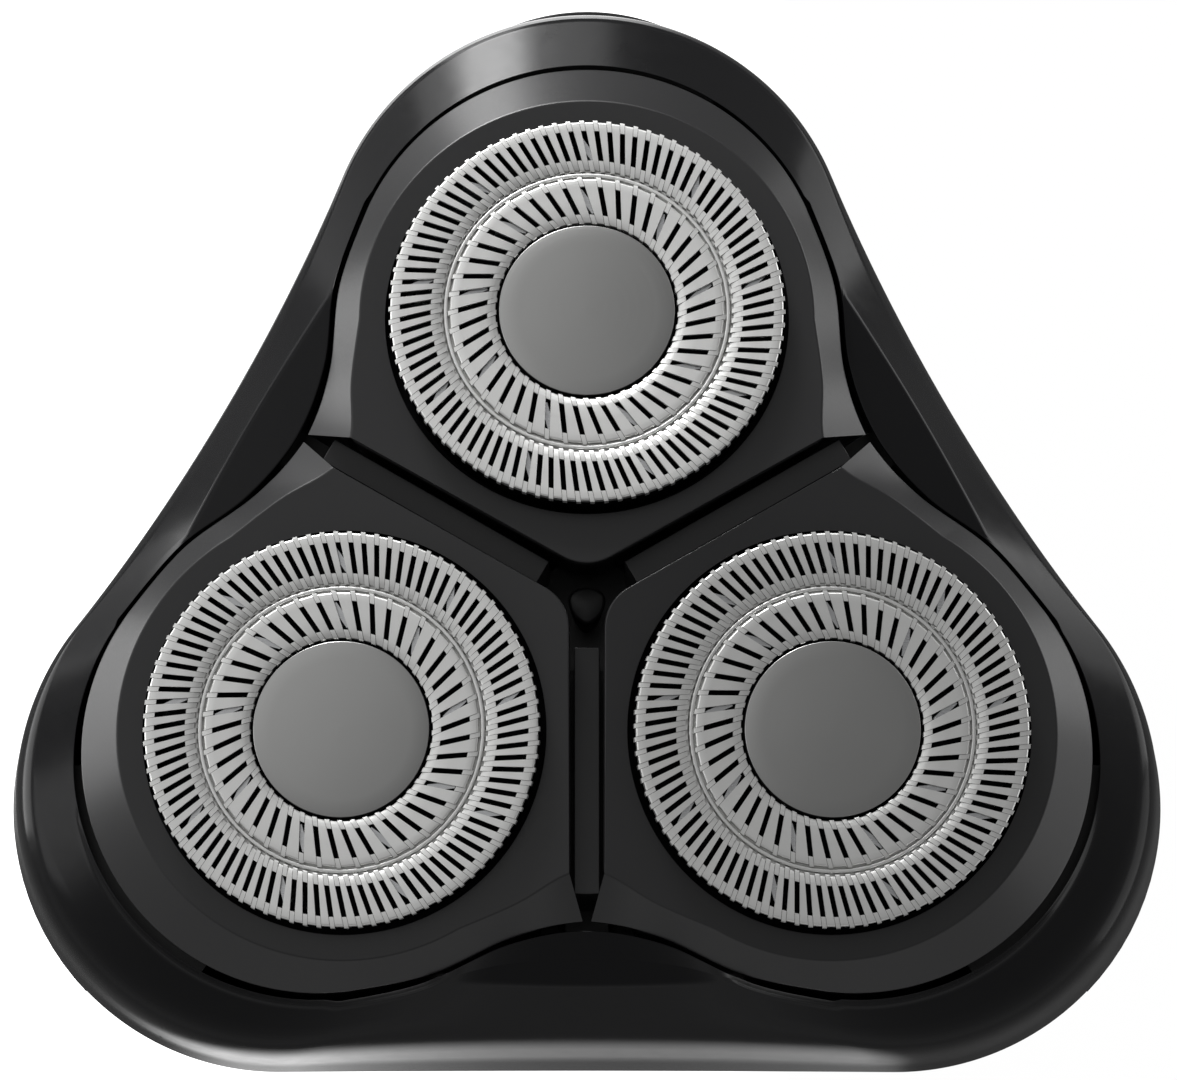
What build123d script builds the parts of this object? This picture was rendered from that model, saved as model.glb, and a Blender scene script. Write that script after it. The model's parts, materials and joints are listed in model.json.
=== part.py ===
from build123d import *
import math
import os

# Three-head rotary electric shaver, standing upright on its base.
# Millimetres and degrees. +Z is up, the front (release tab, power button) faces -Y.
# Head pieces are drawn in the head's own frame: its origin is the middle of the three guards,
# +Z points out of the head, and a depth is a distance below the plane of the guard rims.

# ---- driving dimensions: placing of the head ----
HEAD_Y = 2.72
HEAD_Z = 150.0
HEAD_TILT = 9.3
HOLDER_TILT = 5.3
LOBE_R = 15.0
LOBES = {"front": -90.0, "right": 30.0, "left": 150.0}
SPOKE_TURN = 60.0
OVER_CUT = 1.0

# ---- frame (bezel) ----
SKIRT_DEPTH = 15.0
SKIRT = dict(centre=19.2, radius=14.4, side=23.1, rear=23.95)
BULGE_DEPTH = 9.6
BULGE = dict(centre=18.8, radius=14.3, side=22.6, rear=22.9)
EDGE_DEPTH = 8.1
EDGE = dict(centre=18.4, radius=14.1, side=22.0, rear=22.1)
APEX_DEPTH = 4.0
APEX = dict(centre=12.6, radius=12.4, side=20.2, rear=20.2)
DOME_TOP = 3.53
DOME_R = 166.7
LAND_DEPTH = 7.6
FRAME_WALL = 1.9
EDGE_WALL = 2.2
HOLE_GAP = 0.35
HOLE_ARC_TRIM = 0.3
HOLE_SHIFT = 0.1
HOLE_SPOKE_REACH = 17.85

# ---- holders (petals) ----
FACE_DEPTH = 1.7
BRIM_DEPTH = 3.85
HOLDER_DEPTH = 8.3
FACE_R = 12.13
BRIM_SHIFT = 1.72
BRIM_R = 12.82
BRIM_ARC_END = 66.0
BRIM_FLANK = [(2.5, 13.25), (-2.2, 13.75), (-5.81, 14.92)]
BRIM_TANGENTS = [(-0.914, 0.407), (-0.8, 0.6)]
BRIM_CORNER = 15.4
FACE_FLANK_END = 15.25
FACE_TANGENTS = [(-1, 0), (-0.93, 0.36)]
FACE_CORNER = 15.1
HALF_GAP = 1.04
SKIRT_GAP = 1.9
NOSE_R = 2.5
LIP_R = 15.3
LIP_THICK = 0.8
LIP_W = 14.0
LIP_LENGTH = 10.0
WEDGE_CORNER = 40.0
WEDGE_LENGTH = 60.0

# ---- guards, cutters ----
GUARD_R = 10.5
GUARD_WALL = 0.5
GUARD_DEPTH = 3.65
FLANGE_R = 11.35
FLANGE_THICK = 0.5
FLANGE_PLAY = 0.2
SEAT_PLAY = 0.05
HOLE_R = 10.75
PLATE = 0.5
GROOVE = (7.35, 7.75)
GROOVE_DEPTH = 0.2
CENTRE_R = 4.83
CENTRE_WALL = 0.35
CENTRE_FLOOR = (0.9, 1.3)
OUTER_SLOTS = dict(count=90, inner=8.3, outer=9.98, width=0.27, slant=12.0)
INNER_SLOTS = dict(count=45, inner=5.2, outer=6.85, width=0.27, slant=18.0)
CAP_R = 4.67
CAP_RISE = 0.25
CAP_BEVEL = 0.12
CLIP_BORE = 10.1
CLIP_BOTTOM = 5.4
CLIP_PLAY = 0.02
BLADES = 9
BLADE_TRACKS = ((5.5, 6.7), (8.4, 9.6))
BLADE_THICK = 0.7
BLADE_LEAN = 35.0
BLADE_TOP = PLATE + 0.06
CUTTER_R = 9.7
CUTTER_DISC = (2.9, 3.5)
HUB = (1.7, 5.0)
HUB_R = 3.1
SOCKET_R = 2.1
SOCKET_TOP = 3.4
CUTTER_HOLE_R = 1.1
CUTTER_HOLE_PITCH = 5.2
CUTTER_HOLE_TURN = 20.0
SPINDLE_TIP_R = 0.9

# ---- bracket ----
BAR_W = 1.13
BAR_IN = 2.7
BAR_OUT = 15.9
BAR_TOP = 2.8
PLATE_TOP = 10.0
PLATE_BOTTOM = 11.0
PLATE_OUTLINE = dict(centre=14.5, radius=9.6, side=9.0)
WINDOW_R = 8.2
SPOKE_IN = 2.8
SPOKE_OUT = 18.8
SPOKE_W = 2.4
POST_TOP = 5.2
POST_OUTLINE = dict(centre=0.55, radius=0.5, side=0.92)
POST_BEVEL = 0.22
POST_TAPER = 0.25

# ---- gearbox ----
GEAR_MODULE = 0.5
GEAR_TEETH = 40
PINION_TEETH = 18
SPINDLE_R = GEAR_MODULE * (GEAR_TEETH + PINION_TEETH) / 2
DECK = (19.2, 20.6)
GEAR = (21.2, 23.2)
PLATE_LOW = (24.2, 25.4)
TOOTH_TIP = 0.85
TOOTH_ROOT = 1.15
TOOTH_TIP_SHARE = 0.12
TOOTH_ROOT_SHARE = 0.34
COUPLING_DEPTH = 33.0
CUP_R = 3.2
CUP_BORE = 2.4
CUP_FLOOR = 1.0
CUP_END = 1.8
COUPLING_PLAY = 0.1
BEARING_PLAY = 0.05

# ---- spindles ----
SLEEVE = (7.4, 17.0)
SLEEVE_R = 1.9
SLEEVE_BORE = 1.15
SLEEVE_ROOF = 1.0
SPINDLE_TIP_TOP = 4.25
STEM_R = 1.05
STEM_TOP = 10.5
STEM_END = 0.6
STEM_COLLAR = 20.75
DECK_HOLE_R = 1.25
PLATE_HOLE_R = 1.1
COIL_PITCH_R = 1.55
COIL_WIRE = 0.4
COIL_ENDS = (17.05, 19.15)
COIL_TURNS = 3

# ---- gearbox screws ----
SCREW_PITCH_R = 14.0
SCREW_HOLE_R = 0.85
SCREW_R = 0.7
SCREW_END = 2.2
SCREW_HEAD_R = 1.5
SCREW_HEAD_H = 0.7
SCREW_SLOT = (2.2, 0.4, 0.6)
SCREW_POST_R = 1.7
SCREW_POST_BORE = 0.75

# ---- hinge and latch ----
HINGE_Y = 20.6
HINGE_DEPTH = 15.5
HINGE_PIN_R = 0.7
KNUCKLE_W = 8.0
EAR_W = 3.2
EAR_R = 1.35
BARREL_R = 3.3
GUTTER_R = 3.55
GUTTER_W = 54.0
GUTTER_WALL = 1.4
PIN_PLAY = 0.06
EAR_PLAY = 0.25
EAR_FOOT_W = 1.8
EAR_FOOT_EXTRA = 0.5
TAB_W = 8.8
TAB_R = 34.7
TAB_DEPTH = 17.6
TAB_H = 2.6
TAB_LENGTH = 8.0
TAB_CORNER = 1.6
TAB_PLAY = 0.5
TAB_FACE_R = 11.0
TAB_THICK = 4.8
ARM_TOP = 13.8
ARM_W = 5.0
ARM_THICK = 0.9
ARM_Y = -30.9
SHELF_W = 5.0
SHELF = (5.0, 1.2)
SHELF_PLACE = (-29.1, -19.8)
STOP = (1.2, 4.2)
STOP_PLACE = (-27.2, -18.3)
SHELF_PLAY = 0.1
TAB_COIL_R = 0.9
TAB_COIL_WIRE = 0.26
TAB_COIL_LENGTH = 1.1
TAB_COIL_TURNS = 4
TAB_COIL_Y = 4.82

# ---- hair chamber bowl ----
BASE_WALL = 1.7
SEAL = (SKIRT_DEPTH + 0.08, SKIRT_DEPTH + 0.85)
SEAL_INSET = (0.6, 1.1)
SEAL_PLAY = 0.05
MOUTH_Y = 5.0
MOUTH_Z = 6.5
MOUTH_SIZE = (10.0, 20.0)
STUB_TOP = 30.9
STUB_END = 36.5
NECK_R = 12.2
NECK_BORE = 9.4
BASE_LEVELS = [(SKIRT, SKIRT_DEPTH + 0.3), (dict(centre=18.0, radius=14.0, side=21.9, rear=22.9), 20.0),
               (dict(centre=15.2, radius=13.0, side=19.3, rear=20.0), 25.5),
               (dict(centre=3.0, radius=12.2, side=13.65), 31.0)]
CHAMBER_LEVELS = [(SKIRT, SKIRT_DEPTH + 0.2), (dict(centre=18.0, radius=14.0, side=21.9, rear=22.9), 20.0),
                  (dict(centre=15.2, radius=13.0, side=19.3, rear=20.0), 25.4)]
DECK_OUTLINE = dict(centre=17.6, radius=11.8, side=19.2)
DECK_REAR = 17.1
FLOOR_OUTLINE = dict(centre=15.2, radius=10.7, side=16.8)
PINION_SHAFT_R = 1.2
PINION_PIT = 0.5
COLLAR_R = 14.3
COLLAR_GAP = 0.2
COLLAR_PLAY = 0.25

# ---- handle ----
HANDLE_Y = 5.4
SECTIONS = [(0.0, 15.5, 13.5, 4.6), (2.0, 17.4, 15.2, 4.7), (8.0, 19.2, 16.6, 4.9),
            (38.0, 20.4, 17.8, 5.2), (70.0, 19.4, 16.6, 5.4), (96.0, 19.6, 16.6, 6.2),
            (107.0, 17.4, 15.2, 7.2), (113.0, 14.8, 14.2, 8.0)]
SHELL = 1.8
NECK_PLAY = 0.5
NECK_CUT = 10.0
SPLIT_Y = 5.4
CAP_TOP = 7.0
CAP_GAP = 0.05
SUPER = 2.5
NECK_Y = 8.05
HANDLE_TOP = 113.0
OVAL_POINTS = 32
BUTTON_Z = 84.0
BUTTON_R = 6.4
RING_R = 7.8
RING_RISE = 0.35
RING_DEPTH = 2.6
RING_PLAY = 0.15
PANEL_PLAY = 0.02
BUTTON_RISE = 0.9
BUTTON_DEPTH = 2.4
BUTTON_DOME = 40.0
BUTTON_BACK = 1.4
BUTTON_STEM_R = 1.6
BUTTON_TRAVEL = 0.8
SWITCH_GAP = 1.8
SWITCH_R = 2.4
SWITCH_H = 1.2
SWITCH_PLAY = 0.05
BOARD_THICK = 1.2
BOARD_SIZE = (22.0, 76.0)
BOARD_Z = 58.0
WINDOW_Z = 58.0
WINDOW_SIZE = (8.5, 17.0)
WINDOW_CORNER = 2.0
WINDOW_PLAY = 0.1
PIPE_SIZE = (6.5, 13.0)
PIPE_CORNER = 1.5
PIPE_FRONT = 2.4
GRIP_LOW = 14.0
GRIP_HIGH = 98.0
GRIP_DEPTH = 19.0
GRIP_RISE = 0.5
GRIP_Y = 1.5
GRIP_CORNER_TRIM = 0.5
GRIP_PRISM = 30.0
GRIP_START = 8.0

# ---- inside the handle ----
MOTOR_Y = HEAD_Y + COUPLING_DEPTH * math.sin(math.radians(HEAD_TILT))
MOTOR_R = 11.0
MOTOR_LOW = 76.0
MOTOR_HIGH = 104.0
SHAFT_R = 1.0
SHAFT_BORE = 1.05
SHAFT_IN = 8.0
SHAFT_BORE_DEPTH = 8.5
BALL_R = 1.9
BATTERY_R = 7.2
BATTERY_LEN = 50.0
BATTERY_LOW = 16.0
BATTERY_Y = 11.5
STRIP = (8.0, 6.0, 0.4)
CHASSIS_Y = -1.6
CHASSIS = (9.2, 108.0)
SPINE_THICK = 1.4
SPINE_HALF = 11.0
FOOT_TOP = 12.0
FOOT_HALF = 13.0
FOOT_OVER = 3.0
SADDLE_HALF = 1.5
SADDLE_WALL = 1.0
SADDLE_INSET = 6.0
MOTOR_SADDLE_INSET = 5.0
POCKET_PLAY = 0.1
POCKET_LOW = 8.0
CASE_SCREW_X = 10.5
CASE_SCREW_R = 0.9
CASE_SCREW_TOP = 11.0
CASE_HEAD_R = 1.7
CASE_HEAD = (0.5, 1.0)
CASE_SLOT = (2.4, 0.5, 0.3)
BOSS_R = 1.9
BOSS_BORE = 1.0
BOSS = (1.8, 6.6)
SOCKET_Y = 4.6
SOCKET_W = 9.0
SOCKET_H = 3.3
SOCKET_CORNER = 1.5
SOCKET_PLAY = 0.2
SOCKET_Z = 0.6
SOCKET_BODY = (4.6, 3.6)
SOCKET_RIM = 4.7
SOCKET_WALL = 0.4
TONGUE = (5.6, 0.8, 4.0)
TONGUE_Z = 3.4
COLLAR_W = 1.7
COLLAR_H = 1.6

os.makedirs("parts", exist_ok=True)
HEAD = Location((0, HEAD_Y, HEAD_Z), (HEAD_TILT, 0, 0))
NODES = {}


def keep(name, shape):
    """Store one node under its name."""
    NODES[name] = shape


def lobe_place(angle):
    """Place of a guard's centre: on its lobe, leaning outwards."""
    return HEAD * Pos(*polar(LOBE_R, angle), 0) * Rot(0, 0, angle) * Rot(0, HOLDER_TILT, 0)


def polar(radius, angle):
    """X and Y of a point at a radius and an angle."""
    return radius * math.cos(math.radians(angle)), radius * math.sin(math.radians(angle))


def tube(outer, inner, top, bottom):
    """A ring between two depths."""
    return Pos(0, 0, -bottom) * extrude(Circle(outer) - Circle(inner), amount=bottom - top)


def disc(radius, top, bottom):
    """A plain disc between two depths."""
    return Pos(0, 0, -bottom) * extrude(Circle(radius), amount=bottom - top)


def side_arc(centre, radius, side):
    """Radius of the arc that joins two lobe arcs and passes the side at its middle, hollow if positive."""
    across = centre * math.sin(math.radians(SPOKE_TURN))
    along = centre * math.cos(math.radians(SPOKE_TURN))
    return (across ** 2 + (side - along) ** 2 - radius ** 2) / (2 * (radius - side + along))


def trilobe(centre, radius, side, rear=None, depth=0.0, grow=0.0):
    """Three-lobed outline of six tangent arcs, as a wire at a depth."""
    edges = []
    sides = [side, rear or side, side]
    angles = list(LOBES.values())
    touches = []
    for angle, reach in zip([lobe + SPOKE_TURN for lobe in angles], sides):
        bend = side_arc(centre, radius, reach)
        far = reach + bend
        lobes = [polar(centre, angle - SPOKE_TURN), polar(centre, angle + SPOKE_TURN)]
        hub = polar(far, angle)
        ends = []
        for lobe in lobes:
            span = math.dist(hub, lobe)
            step = (radius + grow) / span * (1 if bend > 0 else -1)
            ends.append((lobe[0] + (hub[0] - lobe[0]) * step, lobe[1] + (hub[1] - lobe[1]) * step))
        touches.append((ends[0], polar(reach + grow, angle), ends[1]))
    for k, angle in enumerate(angles):
        before = touches[k - 1]
        after = touches[k]
        edges.append(ThreePointArc(before[2], polar(centre + radius + grow, angle), after[0]))
        edges.append(ThreePointArc(*after))
    return Pos(0, 0, -depth) * Wire(edges)


def lofted(wires, ruled=True):
    """Solid through a list of outlines."""
    return Solid.make_loft(wires, ruled)


def half_brim(gap):
    """One half of a holder's brim outline from the lobe arc to the spoke corner."""
    x, y = polar(BRIM_R + gap, BRIM_ARC_END)
    return [(BRIM_SHIFT + x, y)] + [(x, y + gap) for x, y in BRIM_FLANK]


def mirrored(points):
    """The same points on the other side of the X axis, in reverse."""
    return [(x, -y) for x, y in reversed(points)]


def brim_arc(gap):
    """The lobe arc of the brim, grown by a gap."""
    start = half_brim(gap)[0]
    return ThreePointArc((start[0], -start[1]), (BRIM_SHIFT + BRIM_R + gap, 0), start)


def spoke_point(reach, offset):
    """A point beside the upper spoke in the holder's frame, reach from the head's centre."""
    along = polar(reach, SPOKE_TURN)
    across = polar(offset, SPOKE_TURN - 90)
    return -LOBE_R + along[0] + across[0], along[1] + across[1]


def nose(offset, radius):
    """Tangent points and middle of the rounded inner corner of a holder."""
    corner = -LOBE_R + offset / math.sin(math.radians(SPOKE_TURN))
    run = polar(radius / math.tan(math.radians(SPOKE_TURN)), SPOKE_TURN)
    return (corner + run[0], run[1]), (corner + radius / math.sin(math.radians(SPOKE_TURN)) - radius, 0)


def holder_outline(main, points, tangents, corner, depth):
    """Closed outline of a holder: lobe arc, two flanks, corner edges, spoke sides and the rounded nose."""
    touch, tip_of_nose = nose(HALF_GAP, NOSE_R)
    back = [(-x, y) for x, y in reversed(tangents)]
    edges = [main, Spline(points, tangents=tangents)]
    edges += [Line(points[-1], corner), Line(corner, touch)]
    edges.append(ThreePointArc(touch, tip_of_nose, (touch[0], -touch[1])))
    edges.append(Line((touch[0], -touch[1]), (corner[0], -corner[1])))
    edges.append(Line((corner[0], -corner[1]), mirrored(points)[0]))
    edges.append(Spline(mirrored(points), tangents=back))
    return Pos(0, 0, -depth) * Wire(edges)


def face_outline(depth):
    """Outline of a holder's flat top face."""
    main = ThreePointArc((0, -FACE_R), (FACE_R, 0), (0, FACE_R))
    points = [(0, FACE_R), spoke_point(FACE_FLANK_END, HALF_GAP)]
    return holder_outline(main, points, FACE_TANGENTS, spoke_point(FACE_CORNER, HALF_GAP), depth)


def brim_outline(depth):
    """Outline of a holder at the foot of its chamfer."""
    corner = spoke_point(BRIM_CORNER, HALF_GAP)
    return holder_outline(brim_arc(0), half_brim(0), BRIM_TANGENTS, corner, depth)


def wedge(gap, depth):
    """The 120-degree sector between two spokes, set back from them by a gap."""
    apex = (-LOBE_R + gap / math.sin(math.radians(SPOKE_TURN)), 0)
    corner = spoke_point(WEDGE_CORNER, gap)
    far = WEDGE_LENGTH
    right = [corner, (far, corner[1])]
    outline = Polyline(apex, *right, *[(x, -y) for x, y in reversed(right)], close=True)
    return Pos(0, 0, -depth) * extrude(make_face(outline), amount=depth)


def make_holder():
    """A floating holder: flat face, chamfer, skirt, lip under the frame, stepped bore for the guard."""
    top = lofted([brim_outline(BRIM_DEPTH), face_outline(FACE_DEPTH)])
    skirt = extrude(Face(brim_outline(HOLDER_DEPTH)), amount=HOLDER_DEPTH - BRIM_DEPTH)
    skirt = skirt & wedge(SKIRT_GAP, HOLDER_DEPTH + OVER_CUT)
    lip = disc(LIP_R, HOLDER_DEPTH - LIP_THICK, HOLDER_DEPTH)
    lip = lip & (Pos(2 * LIP_LENGTH, 0, -HOLDER_DEPTH) * Box(2 * LIP_LENGTH, LIP_W, LIP_LENGTH))
    body = top + skirt + lip
    body -= disc(HOLE_R, 0, HOLDER_DEPTH + OVER_CUT)
    return body - disc(FLANGE_R + FLANGE_PLAY, GUARD_DEPTH - SEAT_PLAY, HOLDER_DEPTH + OVER_CUT)


def slots(count, inner, outer, width, slant):
    """Slanted slots of one track of a guard, as flat faces."""
    slot = Rot(0, 0, slant) * Rectangle((outer - inner) / math.cos(math.radians(slant)), width)
    return [place * slot for place in PolarLocations((inner + outer) / 2, count)]


def make_guard():
    """A slotted steel guard: two tracks with a groove between, a side wall and a flange."""
    plate = Circle(GUARD_R) - Circle(CENTRE_R)
    plate -= slots(**OUTER_SLOTS) + slots(**INNER_SLOTS)
    body = Pos(0, 0, -PLATE) * extrude(plate, amount=PLATE)
    body -= tube(GROOVE[1], GROOVE[0], -OVER_CUT, GROOVE_DEPTH)
    body += tube(GUARD_R, GUARD_R - GUARD_WALL, PLATE, GUARD_DEPTH)
    body += tube(FLANGE_R, GUARD_R - GUARD_WALL, GUARD_DEPTH, GUARD_DEPTH + FLANGE_THICK)
    body += tube(CENTRE_R + CENTRE_WALL, CENTRE_R, PLATE, CENTRE_FLOOR[1])
    return body + disc(CENTRE_R + CENTRE_WALL, *CENTRE_FLOOR)


def make_cap():
    """The disc in the middle of a guard, sitting on its floor, with a bevelled rim."""
    cap = disc(CAP_R, -CAP_RISE, CENTRE_FLOOR[0])
    return chamfer(cap.edges().group_by(Axis.Z)[-1], CAP_BEVEL)


def make_cutter():
    """A spinning cutter: disc, hub with a socket, and nine twin blades that lean in the spin direction."""
    body = disc(CUTTER_R, *CUTTER_DISC) + disc(HUB_R, *HUB)
    body -= disc(SOCKET_R, SOCKET_TOP, HUB[1] + OVER_CUT)
    foot = CUTTER_DISC[0]
    for k in range(BLADES):
        turn = Rot(0, 0, k * 360 / BLADES)
        for inner, outer in BLADE_TRACKS:
            arm = Pos((inner + outer) / 2, 0, -(BLADE_TOP + foot) / 2) * Rot(0, 0, BLADE_LEAN)
            body += turn * arm * Box(outer - inner, BLADE_THICK, foot - BLADE_TOP)
    hole = disc(CUTTER_HOLE_R, foot - OVER_CUT, CUTTER_DISC[1] + 2 * OVER_CUT)
    return body - [place * hole for place in PolarLocations(CUTTER_HOLE_PITCH, BLADES, CUTTER_HOLE_TURN)]


def make_clip():
    """The ring that keeps a guard's flange against its holder, with a lower shelf."""
    return tube(FLANGE_R + FLANGE_PLAY / 2, CLIP_BORE, GUARD_DEPTH + FLANGE_THICK + CLIP_PLAY, CLIP_BOTTOM)


def slab(outline, top, bottom, grow=0.0):
    """A flat three-lobed plate between two depths."""
    return extrude(Face(trilobe(**outline, depth=bottom, grow=grow)), amount=bottom - top)


def make_bracket():
    """Retaining bracket: a plate with a window under each holder, three spokes and three bars."""
    body = slab(PLATE_OUTLINE, PLATE_TOP, PLATE_BOTTOM)
    for angle in LOBES.values():
        window = disc(WINDOW_R, PLATE_TOP - OVER_CUT, PLATE_BOTTOM + OVER_CUT)
        body -= Pos(*polar(SPINDLE_R, angle), 0) * window
        turn = Rot(0, 0, angle + SPOKE_TURN)
        body += turn * strip(SPOKE_IN, SPOKE_OUT, SPOKE_W, PLATE_TOP, PLATE_BOTTOM)
        body += turn * strip(BAR_IN, BAR_OUT, BAR_W, BAR_TOP, PLATE_TOP)
    return body


def strip(near, far, width, top, bottom):
    """A straight block along X between two reaches and two depths."""
    return Pos((near + far) / 2, 0, -(top + bottom) / 2) * Box(far - near, width, bottom - top)


def make_post():
    """The tapered post in the middle of the bracket, its corners towards the bars and its rim bevelled."""
    levels = [(PLATE_TOP, -POST_TAPER), (POST_TOP + POST_BEVEL, 0.0), (POST_TOP, -POST_BEVEL)]
    outlines = [trilobe(**POST_OUTLINE, depth=depth, grow=grow) for depth, grow in levels]
    return Rot(0, 0, SPOKE_TURN) * lofted(outlines)


def frame_hole(depth, height):
    """The hole in the frame's land that follows the three holders, with their running gap."""
    edges = []
    flank_points = half_brim(HOLE_GAP)
    reach = LOBE_R + HOLE_SHIFT
    sides = []
    x, y = flank_points[0]
    crown = (BRIM_SHIFT + BRIM_R + HOLE_GAP - HOLE_ARC_TRIM, 0)
    for angle in LOBES.values():
        here = Rot(0, 0, angle) * Pos(reach, 0, 0)
        there = Rot(0, 0, angle + 2 * SPOKE_TURN) * Pos(reach, 0, 0)
        edges.append(here * ThreePointArc((x, -y), crown, (x, y)))
        up = [(here * Pos(*point, 0)).position for point in flank_points[:3]]
        down = [(there * Pos(*point, 0)).position for point in mirrored(flank_points[:3])]
        middle = Vector(*polar(HOLE_SPOKE_REACH, angle + SPOKE_TURN))
        sides.append(Spline(up + [middle] + down))
    outline = []
    for arc, flank in zip(edges, sides):
        outline += [arc, flank]
    return Pos(0, 0, -depth) * extrude(Face(Wire(outline)), amount=height)


def make_frame():
    """The bezel: domed land around the holders, bevel, crisp edge, bulged wall and a hinge knuckle."""
    levels = [(SKIRT, SKIRT_DEPTH), (BULGE, BULGE_DEPTH), (EDGE, EDGE_DEPTH), (APEX, APEX_DEPTH)]
    body = lofted([trilobe(**outline, depth=depth) for outline, depth in levels])
    body = body & (Pos(0, 0, -DOME_TOP - DOME_R) * Sphere(DOME_R))
    body -= frame_hole(SKIRT_DEPTH, SKIRT_DEPTH)
    body -= lofted([trilobe(**SKIRT, depth=SKIRT_DEPTH + HOLE_SHIFT, grow=-FRAME_WALL),
                    trilobe(**BULGE, depth=BULGE_DEPTH, grow=-FRAME_WALL),
                    trilobe(**EDGE, depth=LAND_DEPTH, grow=-EDGE_WALL)])
    barrel = hinge_rod(BARREL_R, GUTTER_W) & slab(SKIRT, 0, SKIRT_DEPTH + GUTTER_R + EAR_R)
    slot_w = EAR_W + 2 * EAR_PLAY
    for side in (-1, 1):
        barrel -= Pos(side * (KNUCKLE_W + slot_w) / 2, 0, 0) * hinge_rod(GUTTER_R, slot_w)
    return body + barrel - hinge_rod(HINGE_PIN_R + PIN_PLAY, GUTTER_W / 2)


def gear_outline(teeth, phase):
    """A spur gear's outline with straight-flanked teeth and a little backlash."""
    pitch = GEAR_MODULE * teeth / 2
    root = (pitch - TOOTH_ROOT * GEAR_MODULE, TOOTH_ROOT_SHARE)
    tip = (pitch + TOOTH_TIP * GEAR_MODULE, TOOTH_TIP_SHARE)
    step = 360 / teeth
    points = []
    for k in range(teeth):
        middle = phase + k * step
        for (radius, share), side in ((root, -1), (tip, -1), (tip, 1), (root, 1)):
            points.append(polar(radius, middle + side * share * step))
    return make_face(Polyline(*points, close=True))


def make_gear(teeth, phase):
    """A spur gear between the gearbox's deck and its lower plate."""
    return Pos(0, 0, -GEAR[1]) * extrude(gear_outline(teeth, phase), amount=GEAR[1] - GEAR[0])


def make_spindle():
    """The sprung upper part of a drive spindle, with its driving tip."""
    sleeve = disc(SLEEVE_R, *SLEEVE) - disc(SLEEVE_BORE, SLEEVE[0] + SLEEVE_ROOF, SLEEVE[1] + OVER_CUT)
    return sleeve + disc(SPINDLE_TIP_R, SPINDLE_TIP_TOP, SLEEVE[0])


def make_stem():
    """The lower part of a spindle, standing on its gear."""
    return disc(STEM_R, STEM_TOP, PLATE_LOW[0] + STEM_END) + disc(SLEEVE_R, STEM_COLLAR, GEAR[0])


def make_spring(radius, wire, top, bottom, turns):
    """A compression spring as a stack of rings."""
    pitch = (bottom - top - wire) / turns
    coils = [Pos(0, 0, -(top + wire / 2 + pitch * k)) * Torus(radius, wire / 2) for k in range(turns + 1)]
    return Compound(coils)


def hinge_rod(radius, length):
    """A cylinder on the hinge's axis."""
    return Location((0, HINGE_Y, -HINGE_DEPTH), (0, 90, 0)) * Cylinder(radius, length)


def make_base():
    """The hair chamber: a bowl under the frame that holds the gearbox, with hinge ears and a neck stub."""
    outer = lofted([trilobe(**outline, depth=depth) for outline, depth in BASE_LEVELS])
    inner = lofted([trilobe(**outline, depth=depth, grow=-BASE_WALL) for outline, depth in CHAMBER_LEVELS])
    body = outer - inner
    body += outer & hinge_rod(GUTTER_R + GUTTER_WALL, GUTTER_W + 2 * GUTTER_WALL)
    body -= hinge_rod(GUTTER_R, GUTTER_W)
    groove = slab(SKIRT, 0, SEAL[1], grow=SEAL_PLAY - SEAL_INSET[0])
    body -= groove - slab(SKIRT, -OVER_CUT, SEAL[1] + OVER_CUT, grow=-SEAL_PLAY - SEAL_INSET[1])
    foot_h = GUTTER_R + EAR_FOOT_EXTRA
    for side in (-1, 1):
        ear_x = side * (KNUCKLE_W / 2 + EAR_PLAY + EAR_W / 2)
        foot = Pos(ear_x, HINGE_Y, -HINGE_DEPTH - foot_h / 2) * Box(EAR_W, EAR_FOOT_W * EAR_R, foot_h)
        body += Pos(ear_x, 0, 0) * hinge_rod(EAR_R, EAR_W) + foot
    body -= hinge_rod(HINGE_PIN_R, GUTTER_W / 2)
    body -= Pos(0, HINGE_Y + MOUTH_Y, MOUTH_Z - HINGE_DEPTH) * Box(GUTTER_W, *MOUTH_SIZE)
    body -= Pos(0, -TAB_R, -TAB_DEPTH) * Box(TAB_W + TAB_PLAY, 3 * TAB_THICK, TAB_H + TAB_PLAY)
    body += latch_shelf(0.0)
    body -= disc(NECK_BORE, PLATE_LOW[1] - OVER_CUT, STUB_TOP + OVER_CUT)
    return body + disc(NECK_R, STUB_TOP, STUB_END) - disc(NECK_BORE, PLATE_LOW[1], STUB_END + OVER_CUT)


def latch_shelf(gap):
    """The shelf and stop behind the release tab."""
    width = SHELF_W + 2 * gap
    shelf = Pos(0, *SHELF_PLACE) * Box(width, SHELF[0] + 2 * gap, SHELF[1] + 4 * gap)
    return shelf + Pos(0, *STOP_PLACE) * Box(width, STOP[0] + 2 * gap, STOP[1])


def make_deck():
    """The deck over the gears, at the floor of the hair chamber, with holes for the spindles."""
    body = slab(DECK_OUTLINE, *DECK) & zone(-HEAD_Z, 0, rear=DECK_REAR)
    through = (DECK[0] - OVER_CUT, DECK[1] + OVER_CUT)
    for angle in LOBES.values():
        body -= Pos(*polar(SPINDLE_R, angle), 0) * disc(DECK_HOLE_R, *through)
    body -= disc(PINION_SHAFT_R + BEARING_PLAY, DECK[0] + PINION_PIT, through[1])
    for place in screw_places():
        body -= place * disc(SCREW_HOLE_R, *through)
    return body - latch_shelf(SHELF_PLAY)


def screw_places():
    """The three gearbox screws, between the gears."""
    return [Pos(*polar(SCREW_PITCH_R, angle + SPOKE_TURN), 0) for angle in LOBES.values()]


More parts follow.
